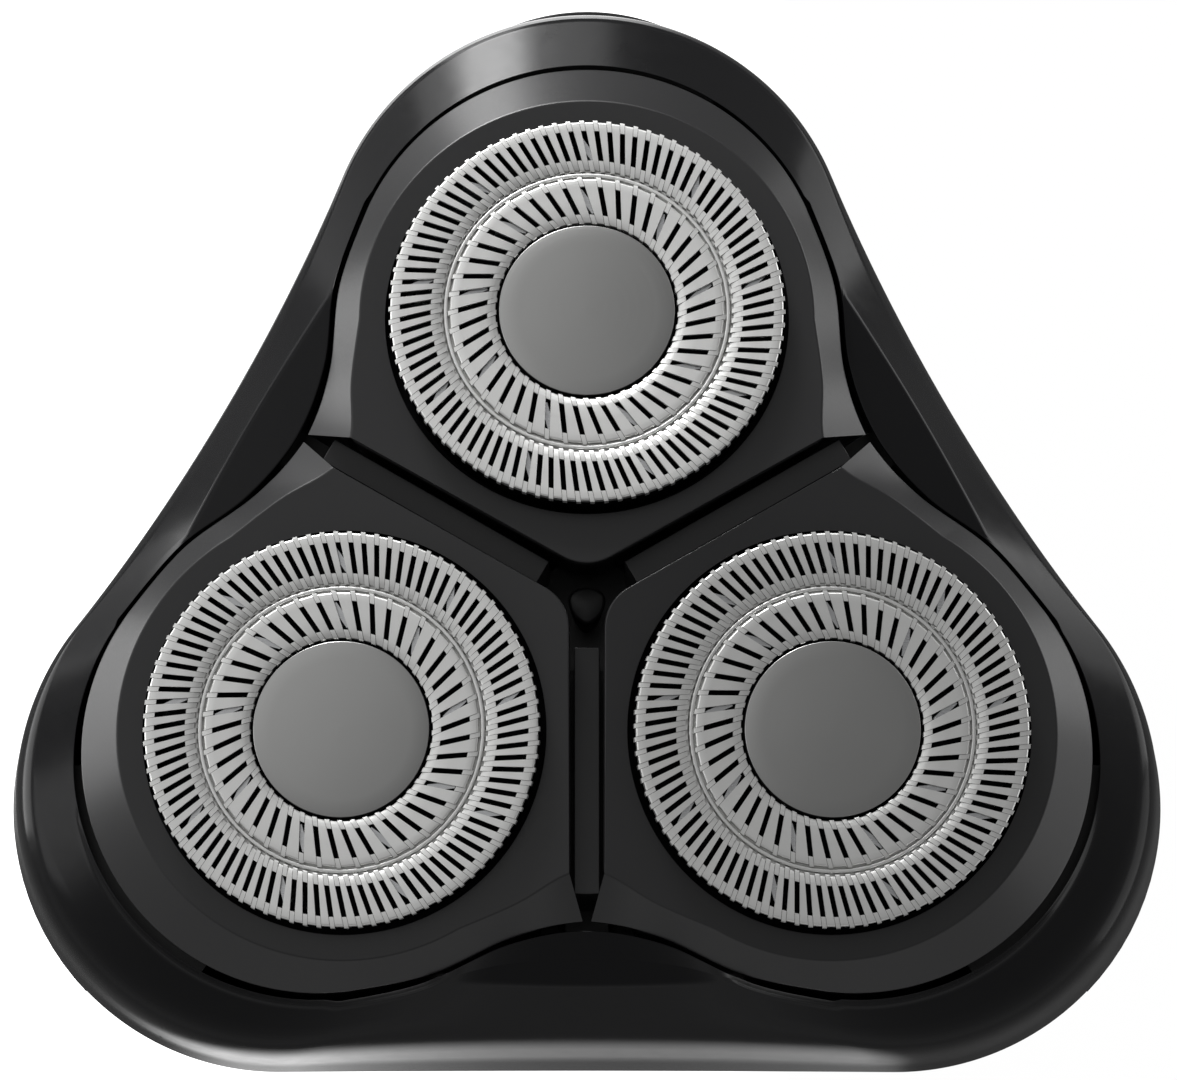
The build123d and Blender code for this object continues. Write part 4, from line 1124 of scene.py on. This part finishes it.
@dataclass
class GuardCap:
    """The plain grey disc in the middle of a guard, with a bright bevelled rim."""

    lobe: Lobe
    radius: float = 4.67
    rise: float = 0.25
    dome: float = 0.2

    def build(self, dresser: Dresser) -> None:
        """Make the disc and put it on its holder."""
        top = [(max(AXIS, self.radius * t), self.rise - self.dome * t * t) for t in (0, 0.2, 0.4, 0.6, 0.8, 0.95)]
        profile = [*top, *rounded([(self.radius - 0.14, self.rise - self.dome), (self.radius, self.rise - 0.22),
                                   (self.radius, -0.9), (AXIS, -0.9)], [0, 0.04, 0, 0], 3)]
        place = self.lobe.place
        dresser.add(f"cap_{self.lobe.label}_disc", spun(profile, 160, loop=False), place, turned_cap(place),
                    self.lobe.body, "cap_steel", [f"guard_cap_{self.lobe.label}"])


@dataclass
class Cutter:
    """A spinning cutter under a guard: disc, hub and twin blades that lean into the turn."""

    lobe: Lobe
    blades: int = 9
    tracks: tuple[Spot, ...] = ((5.45, 6.75), (8.35, 9.65))
    lean: float = 35.0
    thick: float = 0.17
    overhang: float = 1.12
    levels: tuple[Spot, ...] = ((-2.9, 0.75), (-0.55, 0.1), (-0.3, 0.0))

    def blade(self, inner: float, outer: float, turn: float) -> Part:
        """One blade: a thin leaning block whose top is ground flat.

        Args:
            inner: Radius of its inner end.
            outer: Radius of its outer end.
            turn: Its place about the axis, in degrees.

        Returns:
            The points and the faces.
        """
        middle = (inner + outer) / 2
        half, thick = (outer - inner) / 2 * self.overhang, self.thick
        corners = ((-half, -thick), (half, -thick), (half, thick), (-half, thick))
        c, s = polar(1.0, self.lean)
        rings = [[Vector((middle + x * c - y * s, x * s + y * c + shift, height)) for x, y in corners]
                 for height, shift in self.levels]
        return moved(bridge(rings, ends=True), Matrix.Rotation(math.radians(turn), 4, "Z"))

    def build(self, dresser: Dresser) -> None:
        """Make the cutter and put it on its own turning body."""
        disc = spun([(2.1, -5.0), (3.1, -5.0), (3.1, -3.5), (9.65, -3.5), (9.7, -3.4), (9.7, -3.0), (9.65, -2.9),
                     (3.1, -2.9), (3.1, -1.7), (AXIS, -1.7), (AXIS, -3.4), (2.1, -3.4)], 96)
        name, body, place = f"cutter_{self.lobe.label}", f"cutter_head_{self.lobe.label}", self.lobe.place
        # The disc is coloured near black as painted shade, so that the slots over it look deep.
        dresser.add(f"{name}_disc", disc, place, PAINTED_SHADE_STEEL, body, "inner_steel", [name])
        blades = [self.blade(*reaches, k * 360 / self.blades) for k in range(self.blades) for reaches in self.tracks]
        dresser.add(f"{name}_blades", joined(blades), place, GROUND_STEEL, body, "inner_steel")


@dataclass
class Bracket:
    """The retaining bracket: three bars between the holders over a ringed plate, and the tapered post."""

    bar_width: float = 1.36
    bar_in: float = 2.7
    bar_out: float = 15.9
    bar_top: float = 2.8
    plate_top: float = 10.0
    plate_bottom: float = 11.0
    spindle_reach: float = 14.5
    window: float = 8.2
    ring: float = 9.6
    spoke_width: float = 2.4
    spoke_out: float = 18.8
    post: Trilobe = Trilobe(0.55, 0.5, 0.92, 0.92)
    post_top: float = 5.2
    boss: float = 3.2
    strip_edge: float = 0.05

    def strip(self, near: float, far: float, width: float, top: float, bottom: float) -> Part:
        """A straight bar along X between two reaches and two depths."""
        return block((far - near, width, bottom - top), ((near + far) / 2, 0, -(top + bottom) / 2), self.strip_edge)

    def build(self, dresser: Dresser) -> None:
        """Make the bracket and its post."""
        place = head_place()
        rim = rounded([(self.window, -self.plate_bottom), (self.window, -self.plate_top),
                       (self.ring, -self.plate_top), (self.ring, -self.plate_bottom)], [0, 0.15, 0.15, 0], 3)
        parts = [spun([(AXIS, -self.plate_top), (self.boss, -self.plate_top), (self.boss, -self.plate_bottom),
                       (AXIS, -self.plate_bottom)], 48, loop=False)]
        for lobe in Lobe:
            shift = Matrix.Translation((*polar(self.spindle_reach, lobe.value), 0))
            parts.append(moved(spun(rim, 96), shift))
            turn = Matrix.Rotation(math.radians(lobe.value + 60), 4, "Z")
            strips = [self.strip(self.bar_in, self.bar_out, self.bar_width, self.bar_top, self.plate_top),
                      self.strip(2.8, self.spoke_out, self.spoke_width, self.plate_top, self.plate_bottom)]
            parts += [moved(strip, turn) for strip in strips]
        dresser.add("bracket_frame", joined(parts), place, SATIN_ABS, "shaving_unit", "bracket_plastic",
                    ["retaining_bracket"])
        levels = [(self.post_top, -0.16), (self.post_top + 0.03, -0.1), (self.post_top + 0.12, -0.02),
                  (self.post_top + 0.2, 0.0), (self.plate_top, -0.25)]
        rings = []
        for depth, grow in levels:
            outline = self.post.grown(grow)
            rings.append([around(outline.reach(6 * i), 6 * i + 60, -depth) for i in range(60)])
        dresser.add("bracket_post", bridge(list(reversed(rings)), ends=True), place, INNER_ABS, "shaving_unit",
                    "bracket_plastic", ["centre_post"])


# ---------------------------------------------------------------- hair chamber and neck


@dataclass
class ReleaseTab:
    """The tab in the front of the chamber that frees the head: a bowed face with two finger grooves."""

    half_width: float = 4.4
    front: float = 34.7
    bow: float = 11.0
    corner: float = 1.6
    back: float = 29.9
    top: float = 16.3
    height: float = 2.6
    groove: float = 0.25
    arm: tuple[float, float, float] = (5.0, 0.9, 3.8)
    arm_middle: tuple[float, float, float] = (0.0, -30.9, -15.7)

    def build(self, dresser: Dresser) -> None:
        """Make the tab with its arm."""
        face = [(0.5, 0.0), (0.14, 0.04), (0.0, 0.14), (0.0, 0.27), (1.0, 0.31), (1.0, 0.36), (0.0, 0.4), (0.0, 0.6),
                (1.0, 0.64), (1.0, 0.69), (0.0, 0.73), (0.0, 0.86), (0.14, 0.96), (0.5, 1.0)]
        rings = []
        count = 28
        for i in range(count + 1):
            x = self.half_width * math.sin(math.pi * (i / count - 0.5))
            bowed = self.bow - math.sqrt(self.bow ** 2 - x ** 2)
            side = abs(x) - (self.half_width - self.corner)
            turned = self.corner - math.sqrt(self.corner ** 2 - side ** 2) if side > 0 else 0.0
            y = -self.front + max(bowed, turned)
            ring = [Vector((x, y + inset * self.groove, -self.top - share * self.height)) for inset, share in face]
            ring += [Vector((x, -self.back, -self.top - self.height)), Vector((x, -self.back, -self.top))]
            rings.append(ring)
        arm = block(self.arm, self.arm_middle, 0.2)
        dresser.add("release_tab_face", joined([bridge(rings, ends=True), arm]), head_place(), SATIN_ABS,
                    "release_tab", "tab_plastic", ["release_button"])


@dataclass
class Collar:
    """The glossy wedge of a collar between handle and head, with a fine groove round it."""

    radius: float = 14.3
    bore: float = 12.45
    gap: float = 0.2
    stub_depth: float = 31.0

    def build(self, dresser: Dresser) -> None:
        """Make the collar between the handle's top and the neck stub."""
        low_box, high_box = node_box("neck_collar")
        place = head_place()
        head = Matrix.Translation(place.translation / MM) @ place.to_3x3().to_4x4()
        top = head @ Vector((0, 0, -self.stub_depth - self.gap))
        bottom = Vector((0, (low_box.y + high_box.y) / 2, low_box.z))
        tilt = head.to_quaternion()
        profile = rounded([(0.0, self.bore), (0.0, self.radius), (0.42, self.radius), (0.45, self.radius - 0.3),
                           (0.52, self.radius - 0.3), (0.55, self.radius), (1.0, self.radius), (1.0, self.bore)],
                          [0, 0.3, 0.02, 0.02, 0.02, 0.02, 0.3, 0], 4)
        rings = []
        for share, radius in profile:
            turn = Matrix().to_quaternion().slerp(tilt, share)
            middle = bottom.lerp(top, share)
            rings.append([middle + turn @ around(radius, 3.75 * i, 0) for i in range(96)])
        dresser.add("collar_ring", bridge(rings, loop=True), WORLD, GLOSS_ABS, "handle", "collar_plastic",
                    ["neck_collar"])


@dataclass
class HairChamber:
    """The bowl under the bezel, with its gutter for the hinge and the release tab."""

    def build(self, dresser: Dresser) -> None:
        """Finish the chamber's pieces."""
        dresser.keep(SATIN_ABS, "head_base")
        dresser.keep(SEAL_RUBBER, "chamber_seal")
        dresser.keep(GREY_ABS, "gearbox_deck", "gearbox_plate")
        dresser.keep(PLATED_STEEL, "deck_screws", "hinge_pin", "release_spring")
        for lobe in Lobe:
            dresser.keep(INNER_ABS, f"guard_clip_{lobe.label}")
            dresser.keep(ACETAL, f"drive_spindle_{lobe.label}", f"drive_gear_{lobe.label}")
            dresser.keep(PLATED_STEEL, f"spindle_spring_{lobe.label}")
        dresser.keep(ACETAL, "drive_pinion")
        ReleaseTab().build(dresser)
        Collar().build(dresser)


# ---------------------------------------------------------------- handle


@dataclass
class Grip:
    """A soft ribbed panel moulded over one side of the handle.

    Attributes:
        hand: 1 on the left (+X), -1 on the right.
    """

    hand: int
    low: float = 14.0
    high: float = 98.0
    middle_y: float = 6.9
    half_width: float = 9.5
    corner: float = 9.0
    rise: float = 0.5
    rim: float = 1.1
    groove_pitch: float = 3.2
    groove_half: float = 0.75
    groove_depth: float = 0.3
    groove_bow: float = 0.035
    row_step: float = 0.32
    columns: int = 30
    tuck: float = -0.4

    def height(self, y: float, z: float) -> float:
        """Height over the shell: a rounded rim, and bowed grooves that end before it.

        Args:
            y: Place along Y.
            z: Place along Z.

        Returns:
            The height in millimetres.
        """
        over_z = abs(z - (self.low + self.high) / 2) - (self.high - self.low) / 2 + self.corner
        over_y = abs(y - self.middle_y) - self.half_width + self.corner
        inside = self.corner - math.hypot(max(over_z, 0), max(over_y, 0)) - min(max(over_z, over_y), 0)
        edge = min(1.0, max(0.0, inside / self.rim))
        bowed = z + self.groove_bow * (y - self.middle_y) ** 2
        away = abs(bowed % self.groove_pitch - self.groove_pitch / 2) / self.groove_half
        groove = 0.5 + 0.5 * math.cos(math.pi * min(1.0, away))
        fade = min(1.0, max(0.0, (inside - 2.0) / 1.2))
        return self.rise * math.sqrt(1 - (1 - edge) ** 2) - self.groove_depth * groove * fade

    def levels(self) -> list[float]:
        """Heights of the rows, closer together at both ends."""
        ends = [0.0, 0.03, 0.1, 0.22, 0.4, 0.65]
        count = round((self.high - self.low - 2) / self.row_step)
        body = [self.low + 1 + (self.high - self.low - 2) * i / count for i in range(count + 1)]
        return [self.low + e for e in ends] + body + [self.high - e for e in reversed(ends)]

    def half_at(self, z: float) -> float:
        """Half the panel's width at a height."""
        over = abs(z - (self.low + self.high) / 2) - (self.high - self.low) / 2 + self.corner
        if over <= 0:
            return self.half_width
        return self.half_width - self.corner + math.sqrt(max(0.0, self.corner ** 2 - over ** 2))

    def build(self, dresser: Dresser, skin: Skin) -> None:
        """Make the panel on the handle's skin.

        Args:
            dresser: Hands out the finish.
            skin: The handle's outside.
        """
        rings = []
        for z in self.levels():
            half = self.half_at(z)
            shares = [math.sin(math.pi * (i / self.columns - 0.5)) for i in range(self.columns + 1)]
            ring = [skin.side(self.hand, self.middle_y + half * t, z, self.height(self.middle_y + half * t, z))
                    for t in shares]
            ring += [skin.side(self.hand, self.middle_y + half * t, z, self.tuck) for t in reversed(shares[::5])]
            rings.append(ring if self.hand > 0 else list(reversed(ring)))
        name = "left" if self.hand > 0 else "right"
        dresser.add(f"grip_{name}_panel", bridge(rings, ends=True), WORLD, GRIP_RUBBER, "handle", "grip_rubber",
                    [f"side_grip_{self._node_side()}"], sharp=50)

    def _node_side(self) -> str:
        """Name of the CAD grip on this side."""
        return next(side for side in ("left", "right") if node_box(f"side_grip_{side}")[1].x * self.hand > 15)


@dataclass
class FrontPanel:
    """What the front of the handle carries: window rim, charge lamps, button and ring."""

    window_z: float = 58.0
    window: Spot = (8.5, 17.0)
    window_corner: float = 2.0
    lamp_step: float = 3.4
    button: float = 6.4
    ring: Spot = (6.55, 7.8)
    ring_rise: float = 0.35
    button_z: float = 84.0

    def build(self, dresser: Dresser, skin: Skin) -> None:
        """Make the trim and the controls.

        Args:
            dresser: Hands out the finishes.
            skin: The handle's outside.
        """
        self._window_rim(dresser, skin)
        self._lamps(dresser, skin)
        face = node_box("button_ring")[0].y + self.ring_rise
        place = axes_matrix(Vector((0, face, self.button_z)) * MM, Vector((1, 0, 0)), Vector((0, 0, 1)),
                            Vector((0, -1, 0)))
        self._ring(dresser, place)
        self._button(dresser, place)

    def _window_rim(self, dresser: Dresser, skin: Skin) -> None:
        """The fine raised rim round the window."""
        half_x, half_z = self.window[0] / 2, self.window[1] / 2
        section = ((-0.02, -0.3), (0.0, 0.06), (0.1, 0.15), (0.45, 0.15), (0.55, 0.04), (0.6, -0.3))
        rings = []
        for sx, sz, start in ((1, 1, 0), (-1, 1, 90), (-1, -1, 180), (1, -1, 270)):
            for i in range(9):
                way = polar(1.0, start + 90 * i / 8)
                x = sx * (half_x - self.window_corner) + way[0] * self.window_corner
                z = self.window_z + sz * (half_z - self.window_corner) + way[1] * self.window_corner
                rings.append([skin.front(x + way[0] * out, z + way[1] * out, rise) for out, rise in section])
        dresser.add("window_rim", bridge(rings, loop=True), WORLD, SATIN_CHROME, "handle", "ring_chrome")

    def _lamps(self, dresser: Dresser, skin: Skin) -> None:
        """Three plain charge lamps, one over another, in the window."""
        parts = []
        for k in (-1, 0, 1):
            spot = skin.front(0, self.window_z + k * self.lamp_step, 0.0)
            parts.append(block((3.2, 0.36, 1.0), (0, spot.y + 0.12, spot.z), 0.15))
        dresser.add("charge_lamps", joined(parts), WORLD, LAMP_LENS, "handle", "pipe_clear")

    def _ring(self, dresser: Dresser, place: Matrix) -> None:
        """The satin chrome ring round the button."""
        inner, outer = self.ring
        profile = rounded([(inner, -2.25), (inner, 0.1), (inner + 0.35, self.ring_rise),
                           (outer - 0.35, self.ring_rise), (outer, -0.1), (outer, -2.25)],
                          [0, 0.12, 0.12, 0.2, 0.2, 0], 4)
        dresser.add("button_trim", spun(profile, 128), place, SATIN_CHROME, "handle", "ring_chrome", ["button_ring"])

    def _button(self, dresser: Dresser, place: Matrix) -> None:
        """The dished button with its stem, and the light ring in the dish."""
        profile = [(AXIS, 0.18), (1.7, 0.19), (1.95, 0.2), (2.0, 0.05), (2.45, 0.05), (2.5, 0.22), (3.6, 0.3),
                   (4.6, 0.42)]
        profile += rounded([(5.2, 0.5), (6.0, 0.5), (6.4, 0.1), (6.4, -1.5), (1.6, -1.5), (1.6, -3.2), (AXIS, -3.2)],
                           [0, 0.4, 0.3, 0.1, 0, 0.1, 0], 4)
        dresser.add("button_dish", spun(profile, 128, loop=False), place, GLOSS_ABS, "power_key", "button_plastic",
                    ["power_button"])
        light = spun([(2.02, 0.04), (2.02, 0.12), (2.43, 0.12), (2.43, 0.04)], 96)
        dresser.add("button_light", light, place, LAMP_LENS, "power_key", "button_plastic")


@dataclass
class Handle:
    """The oval handle with its grips, parting trim, front panel and inner pieces."""

    parting_y: float = 5.4
    parting_runs: tuple[Spot, ...] = ((98.6, 112.4), (7.4, 13.4))

    def build(self, dresser: Dresser) -> None:
        """Make the handle's trim and finish its other pieces."""
        skin = Skin("front_shell", "rear_shell", "bottom_cap", "display_window")
        for hand in (1, -1):
            Grip(hand).build(dresser, skin)
        self._parting(dresser, skin)
        FrontPanel().build(dresser, skin)
        dresser.keep(TEXTURED_ABS, "front_shell", "rear_shell")
        dresser.keep(SATIN_ABS, "bottom_cap")
        dresser.keep(PLATED_STEEL, "case_screws", "motor", "charging_socket")
        dresser.keep(GREY_ABS, "chassis")
        dresser.keep(GROUND_STEEL, "motor_shaft")
        dresser.keep(SHRINK_WRAP, "battery")
        dresser.keep(NICKEL, "battery_contacts", "switch_dome")
        dresser.keep(SOLDER_MASK, "circuit_board")
        dresser.keep(ACRYLIC, "light_pipe")
        dresser.keep(SMOKED_WINDOW, "display_window")
        dresser.keep(SEAL_RUBBER, "socket_seal")

    def _parting(self, dresser: Dresser, skin: Skin) -> None:
        """A narrow gloss strip over the parting line of the two shells, above and below each grip."""
        section = ((-0.5, -0.3), (-0.42, 0.05), (-0.2, 0.13), (0.2, 0.13), (0.42, 0.05), (0.5, -0.3))
        parts = []
        for hand in (1, -1):
            for low, high in self.parting_runs:
                rings = []
                count = round(high - low)
                for i in range(count + 1):
                    z = low + (high - low) * i / count
                    ring = [skin.side(hand, self.parting_y + y, z, rise) for y, rise in section]
                    rings.append(ring if hand > 0 else list(reversed(ring)))
                parts.append(bridge(rings, ends=True))
        dresser.add("parting_trim", joined(parts), WORLD, GLOSS_ABS, "handle", "collar_plastic")


# ---------------------------------------------------------------- studio


@dataclass(frozen=True)
class Lamp:
    """A soft panel that faces the head.

    Attributes:
        name: Its name.
        turn: Where it stands round the head, in degrees from +X towards +Y.
        height: Its angle above the head's level, in degrees.
        size: Its width and height in millimetres.
        radiance: How bright it looks, where 1 is white paper.
        distance: How far it stands from the head, in millimetres.
    """

    name: str
    turn: float
    height: float
    size: Spot
    radiance: float
    distance: float = 900.0


@dataclass
class Studio:
    """White floor, soft panels and the camera above the head."""

    distance: float = 600.0
    width_mm: float = 62.28
    off_centre: Spot = (-0.085, -2.59)
    lamps: tuple[Lamp, ...] = (
        Lamp("front_strip", -73, 7, (190, 500), 26.0),
        Lamp("front_soft", -75, 11, (600, 360), 4.5),
        Lamp("front_card", -71, -16, (32, 60), 5.0, 150.0),
        Lamp("front_low", -71, -34, (36, 60), 2.5, 160.0),
        Lamp("front_left", -42, -14, (90, 110), 0.8, 160.0),
        Lamp("left_high", 0, 24, (350, 330), 2.2),
        Lamp("left_card", -9, -18, (95, 100), 3.4, 150.0),
        Lamp("right_card", -155, -15, (110, 90), 2.3, 150.0),
        Lamp("right_room", 165, -12, (90, 80), 0.9, 150.0),
    )
    room: float = 0.25
    level_room: float = 0.35
    sky: float = 0.65
    sky_turn: float = -40.0
    sky_height: float = 52.0
    sky_power: float = 7.0
    fill: float = 0.3
    floor_near: float = 0.05
    floor_far: float = 0.5
    floor_cover: float = 0.985
    card_shine: float = 2.0
    card_side: tuple[float, float, float, float] = (-0.025, 0.0, 0.035, 0.055)
    card_rear: tuple[float, float, float, float] = (-0.11, -0.08, 0.07, 0.2)

    def build(self) -> None:
        """Make the floor, the lamps, the world and the camera."""
        middle = head_place().translation
        self._floor()
        self._world()
        for lamp in self.lamps:
            self._lamp(lamp, middle)
        self._camera(middle)

    def _floor(self) -> None:
        """A large floor: white with a faint shadow to the camera. Gloss sees it dark, with one bright patch."""
        half = 4000
        corners = [(-half, -half, 0), (half, -half, 0), (half, half, 0), (-half, half, 0)]
        floor = mesh_piece("floor", corners, [(0, 1, 2, 3)], WORLD)
        material = bpy.data.materials.new("paper_matt_white")
        tree = emptied(material)
        rays = add_node(tree, "ShaderNodeLightPath")
        clear = worked_out(tree, "MAXIMUM", rays.outputs["Is Camera Ray"], rays.outputs["Is Transmission Ray"])
        spot = add_node(tree, "ShaderNodeTexCoord")
        parts = add_node(tree, "ShaderNodeSeparateXYZ", links={"Vector": spot.outputs["Object"]})
        away = add_node(tree, "ShaderNodeVectorMath", {"operation": "LENGTH"}, {0: spot.outputs["Object"]})
        plain = add_node(tree, "ShaderNodeMapRange", {"From Max": 0.8, "To Min": self.floor_near,
                                                      "To Max": self.floor_far}, {"Value": away.outputs["Value"]})
        across = self._band(tree, parts.outputs["X"], self.card_side)
        along = self._band(tree, parts.outputs["Y"], self.card_rear)
        strip = worked_out(tree, "MULTIPLY", across, along)
        card = worked_out(tree, "MULTIPLY_ADD", strip, self.card_shine, plain.outputs[0])
        shine = worked_out(tree, "MAXIMUM", card, clear)
        seen = worked_out(tree, "MAXIMUM", clear, rays.outputs["Is Glossy Ray"])
        share = worked_out(tree, "MULTIPLY", seen, self.floor_cover)
        paper = add_node(tree, "ShaderNodeBsdfDiffuse", {"Color": linear("#F0F0F0")})
        white = add_node(tree, "ShaderNodeEmission", {"Color": (1, 1, 1, 1)}, {"Strength": shine})
        mix = add_node(tree, "ShaderNodeMixShader", links={0: share, 1: paper.outputs[0], 2: white.outputs[0]})
        add_node(tree, "ShaderNodeOutputMaterial", links={"Surface": mix.outputs[0]})
        floor.data.materials.append(material)

    @staticmethod
    def _band(tree: bpy.types.NodeTree, value: bpy.types.NodeSocket,
              ends: tuple[float, float, float, float]) -> bpy.types.NodeSocket:
        """A value that rises from 0 to 1 and falls again.

        Args:
            tree: The node tree.
            value: The input.
            ends: Inputs where it starts to rise, is full, starts to fall and is 0 again.

        Returns:
            The socket with the band.
        """
        low, full, fade, high = ends
        rise = add_node(tree, "ShaderNodeMapRange", {"From Min": low, "From Max": full}, {"Value": value})
        fall = add_node(tree, "ShaderNodeMapRange", {"From Min": high, "From Max": fade}, {"Value": value})
        return worked_out(tree, "MULTIPLY", rise.outputs[0], fall.outputs[0])

    def _world(self) -> None:
        """A dim room, brighter near the level, with one broad soft light high on one side; white behind."""
        world = bpy.data.worlds.new("studio")
        bpy.context.scene.world = world
        tree = emptied(world)
        rays = add_node(tree, "ShaderNodeLightPath")
        way = add_node(tree, "ShaderNodeTexCoord")
        level = math.radians(self.sky_height)
        toward = (*polar(math.cos(level), self.sky_turn), math.sin(level))
        near = add_node(tree, "ShaderNodeVectorMath", {"operation": "DOT_PRODUCT", 1: toward},
                        {0: way.outputs["Generated"]})
        share = add_node(tree, "ShaderNodeMapRange", {"From Min": 0.2}, {"Value": near.outputs["Value"]})
        soft_edge = worked_out(tree, "POWER", share.outputs[0], self.sky_power)
        parts = add_node(tree, "ShaderNodeSeparateXYZ", links={"Vector": way.outputs["Generated"]})
        walls = add_node(tree, "ShaderNodeMapRange", {"From Max": 0.7, "To Min": self.room + self.level_room,
                                                      "To Max": self.room}, {"Value": parts.outputs["Z"]})
        glow = worked_out(tree, "MULTIPLY_ADD", soft_edge, self.sky, walls.outputs[0])
        fill = worked_out(tree, "MULTIPLY_ADD", rays.outputs["Is Diffuse Ray"], self.fill, glow)
        soft = add_node(tree, "ShaderNodeBackground", {"Color": (1, 1, 1, 1)}, {"Strength": fill})
        white = add_node(tree, "ShaderNodeBackground", {"Color": (1, 1, 1, 1), "Strength": 1.0})
        mix = add_node(tree, "ShaderNodeMixShader", links={0: rays.outputs["Is Camera Ray"], 1: soft.outputs[0],
                                                           2: white.outputs[0]})
        add_node(tree, "ShaderNodeOutputWorld", links={"Surface": mix.outputs[0]})

    def _lamp(self, lamp: Lamp, middle: Vector) -> None:
        """Make one soft panel.

        Args:
            lamp: The panel.
            middle: The middle of the head, which it faces.
        """
        data = bpy.data.lights.new(lamp.name, "AREA")
        data.shape = "RECTANGLE"
        data.size, data.size_y = (s * MM for s in lamp.size)
        data.energy = lamp.radiance * math.pi * data.size * data.size_y
        light = bpy.data.objects.new(lamp.name, data)
        flat = around(cos_of(lamp.height), lamp.turn, sin_of(lamp.height))
        light.location = middle + flat * lamp.distance * MM
        light.rotation_euler = (-flat).to_track_quat("-Z", "Y").to_euler()
        light.visible_camera = False
        bpy.context.scene.collection.objects.link(light)

    def _camera(self, middle: Vector) -> None:
        """The camera, straight above the head, with the front of the head up in the picture.

        Args:
            middle: The middle of the head.
        """
        data = bpy.data.cameras.new("camera")
        data.type = "PERSP"
        data.sensor_fit = "HORIZONTAL"
        data.sensor_width = 36.0
        data.lens = 36.0 * self.distance / self.width_mm
        data.clip_end = 20
        camera = bpy.data.objects.new("camera", data)
        camera.location = middle + Vector((*self.off_centre, self.distance)) * MM
        camera.rotation_euler = (0, 0, math.pi)
        bpy.context.scene.collection.objects.link(camera)
        bpy.context.scene.camera = camera


def main() -> None:
    """Build the shaver's pieces in order, then the studio."""
    logging.basicConfig(level=logging.INFO, format="%(name)s: %(message)s")
    dresser = Dresser()
    Bezel().build(dresser)
    for lobe in Lobe:
        Holder(lobe).build(dresser)
        Guard(lobe).build(dresser)
        GuardCap(lobe).build(dresser)
        Cutter(lobe).build(dresser)
    Bracket().build(dresser)
    HairChamber().build(dresser)
    Handle().build(dresser)
    Studio().build()
    bpy.context.scene.view_settings.view_transform = "Standard"
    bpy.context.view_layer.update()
    LOG.info("%d pieces made", dresser.count)


if __name__ == "__main__":
    main()
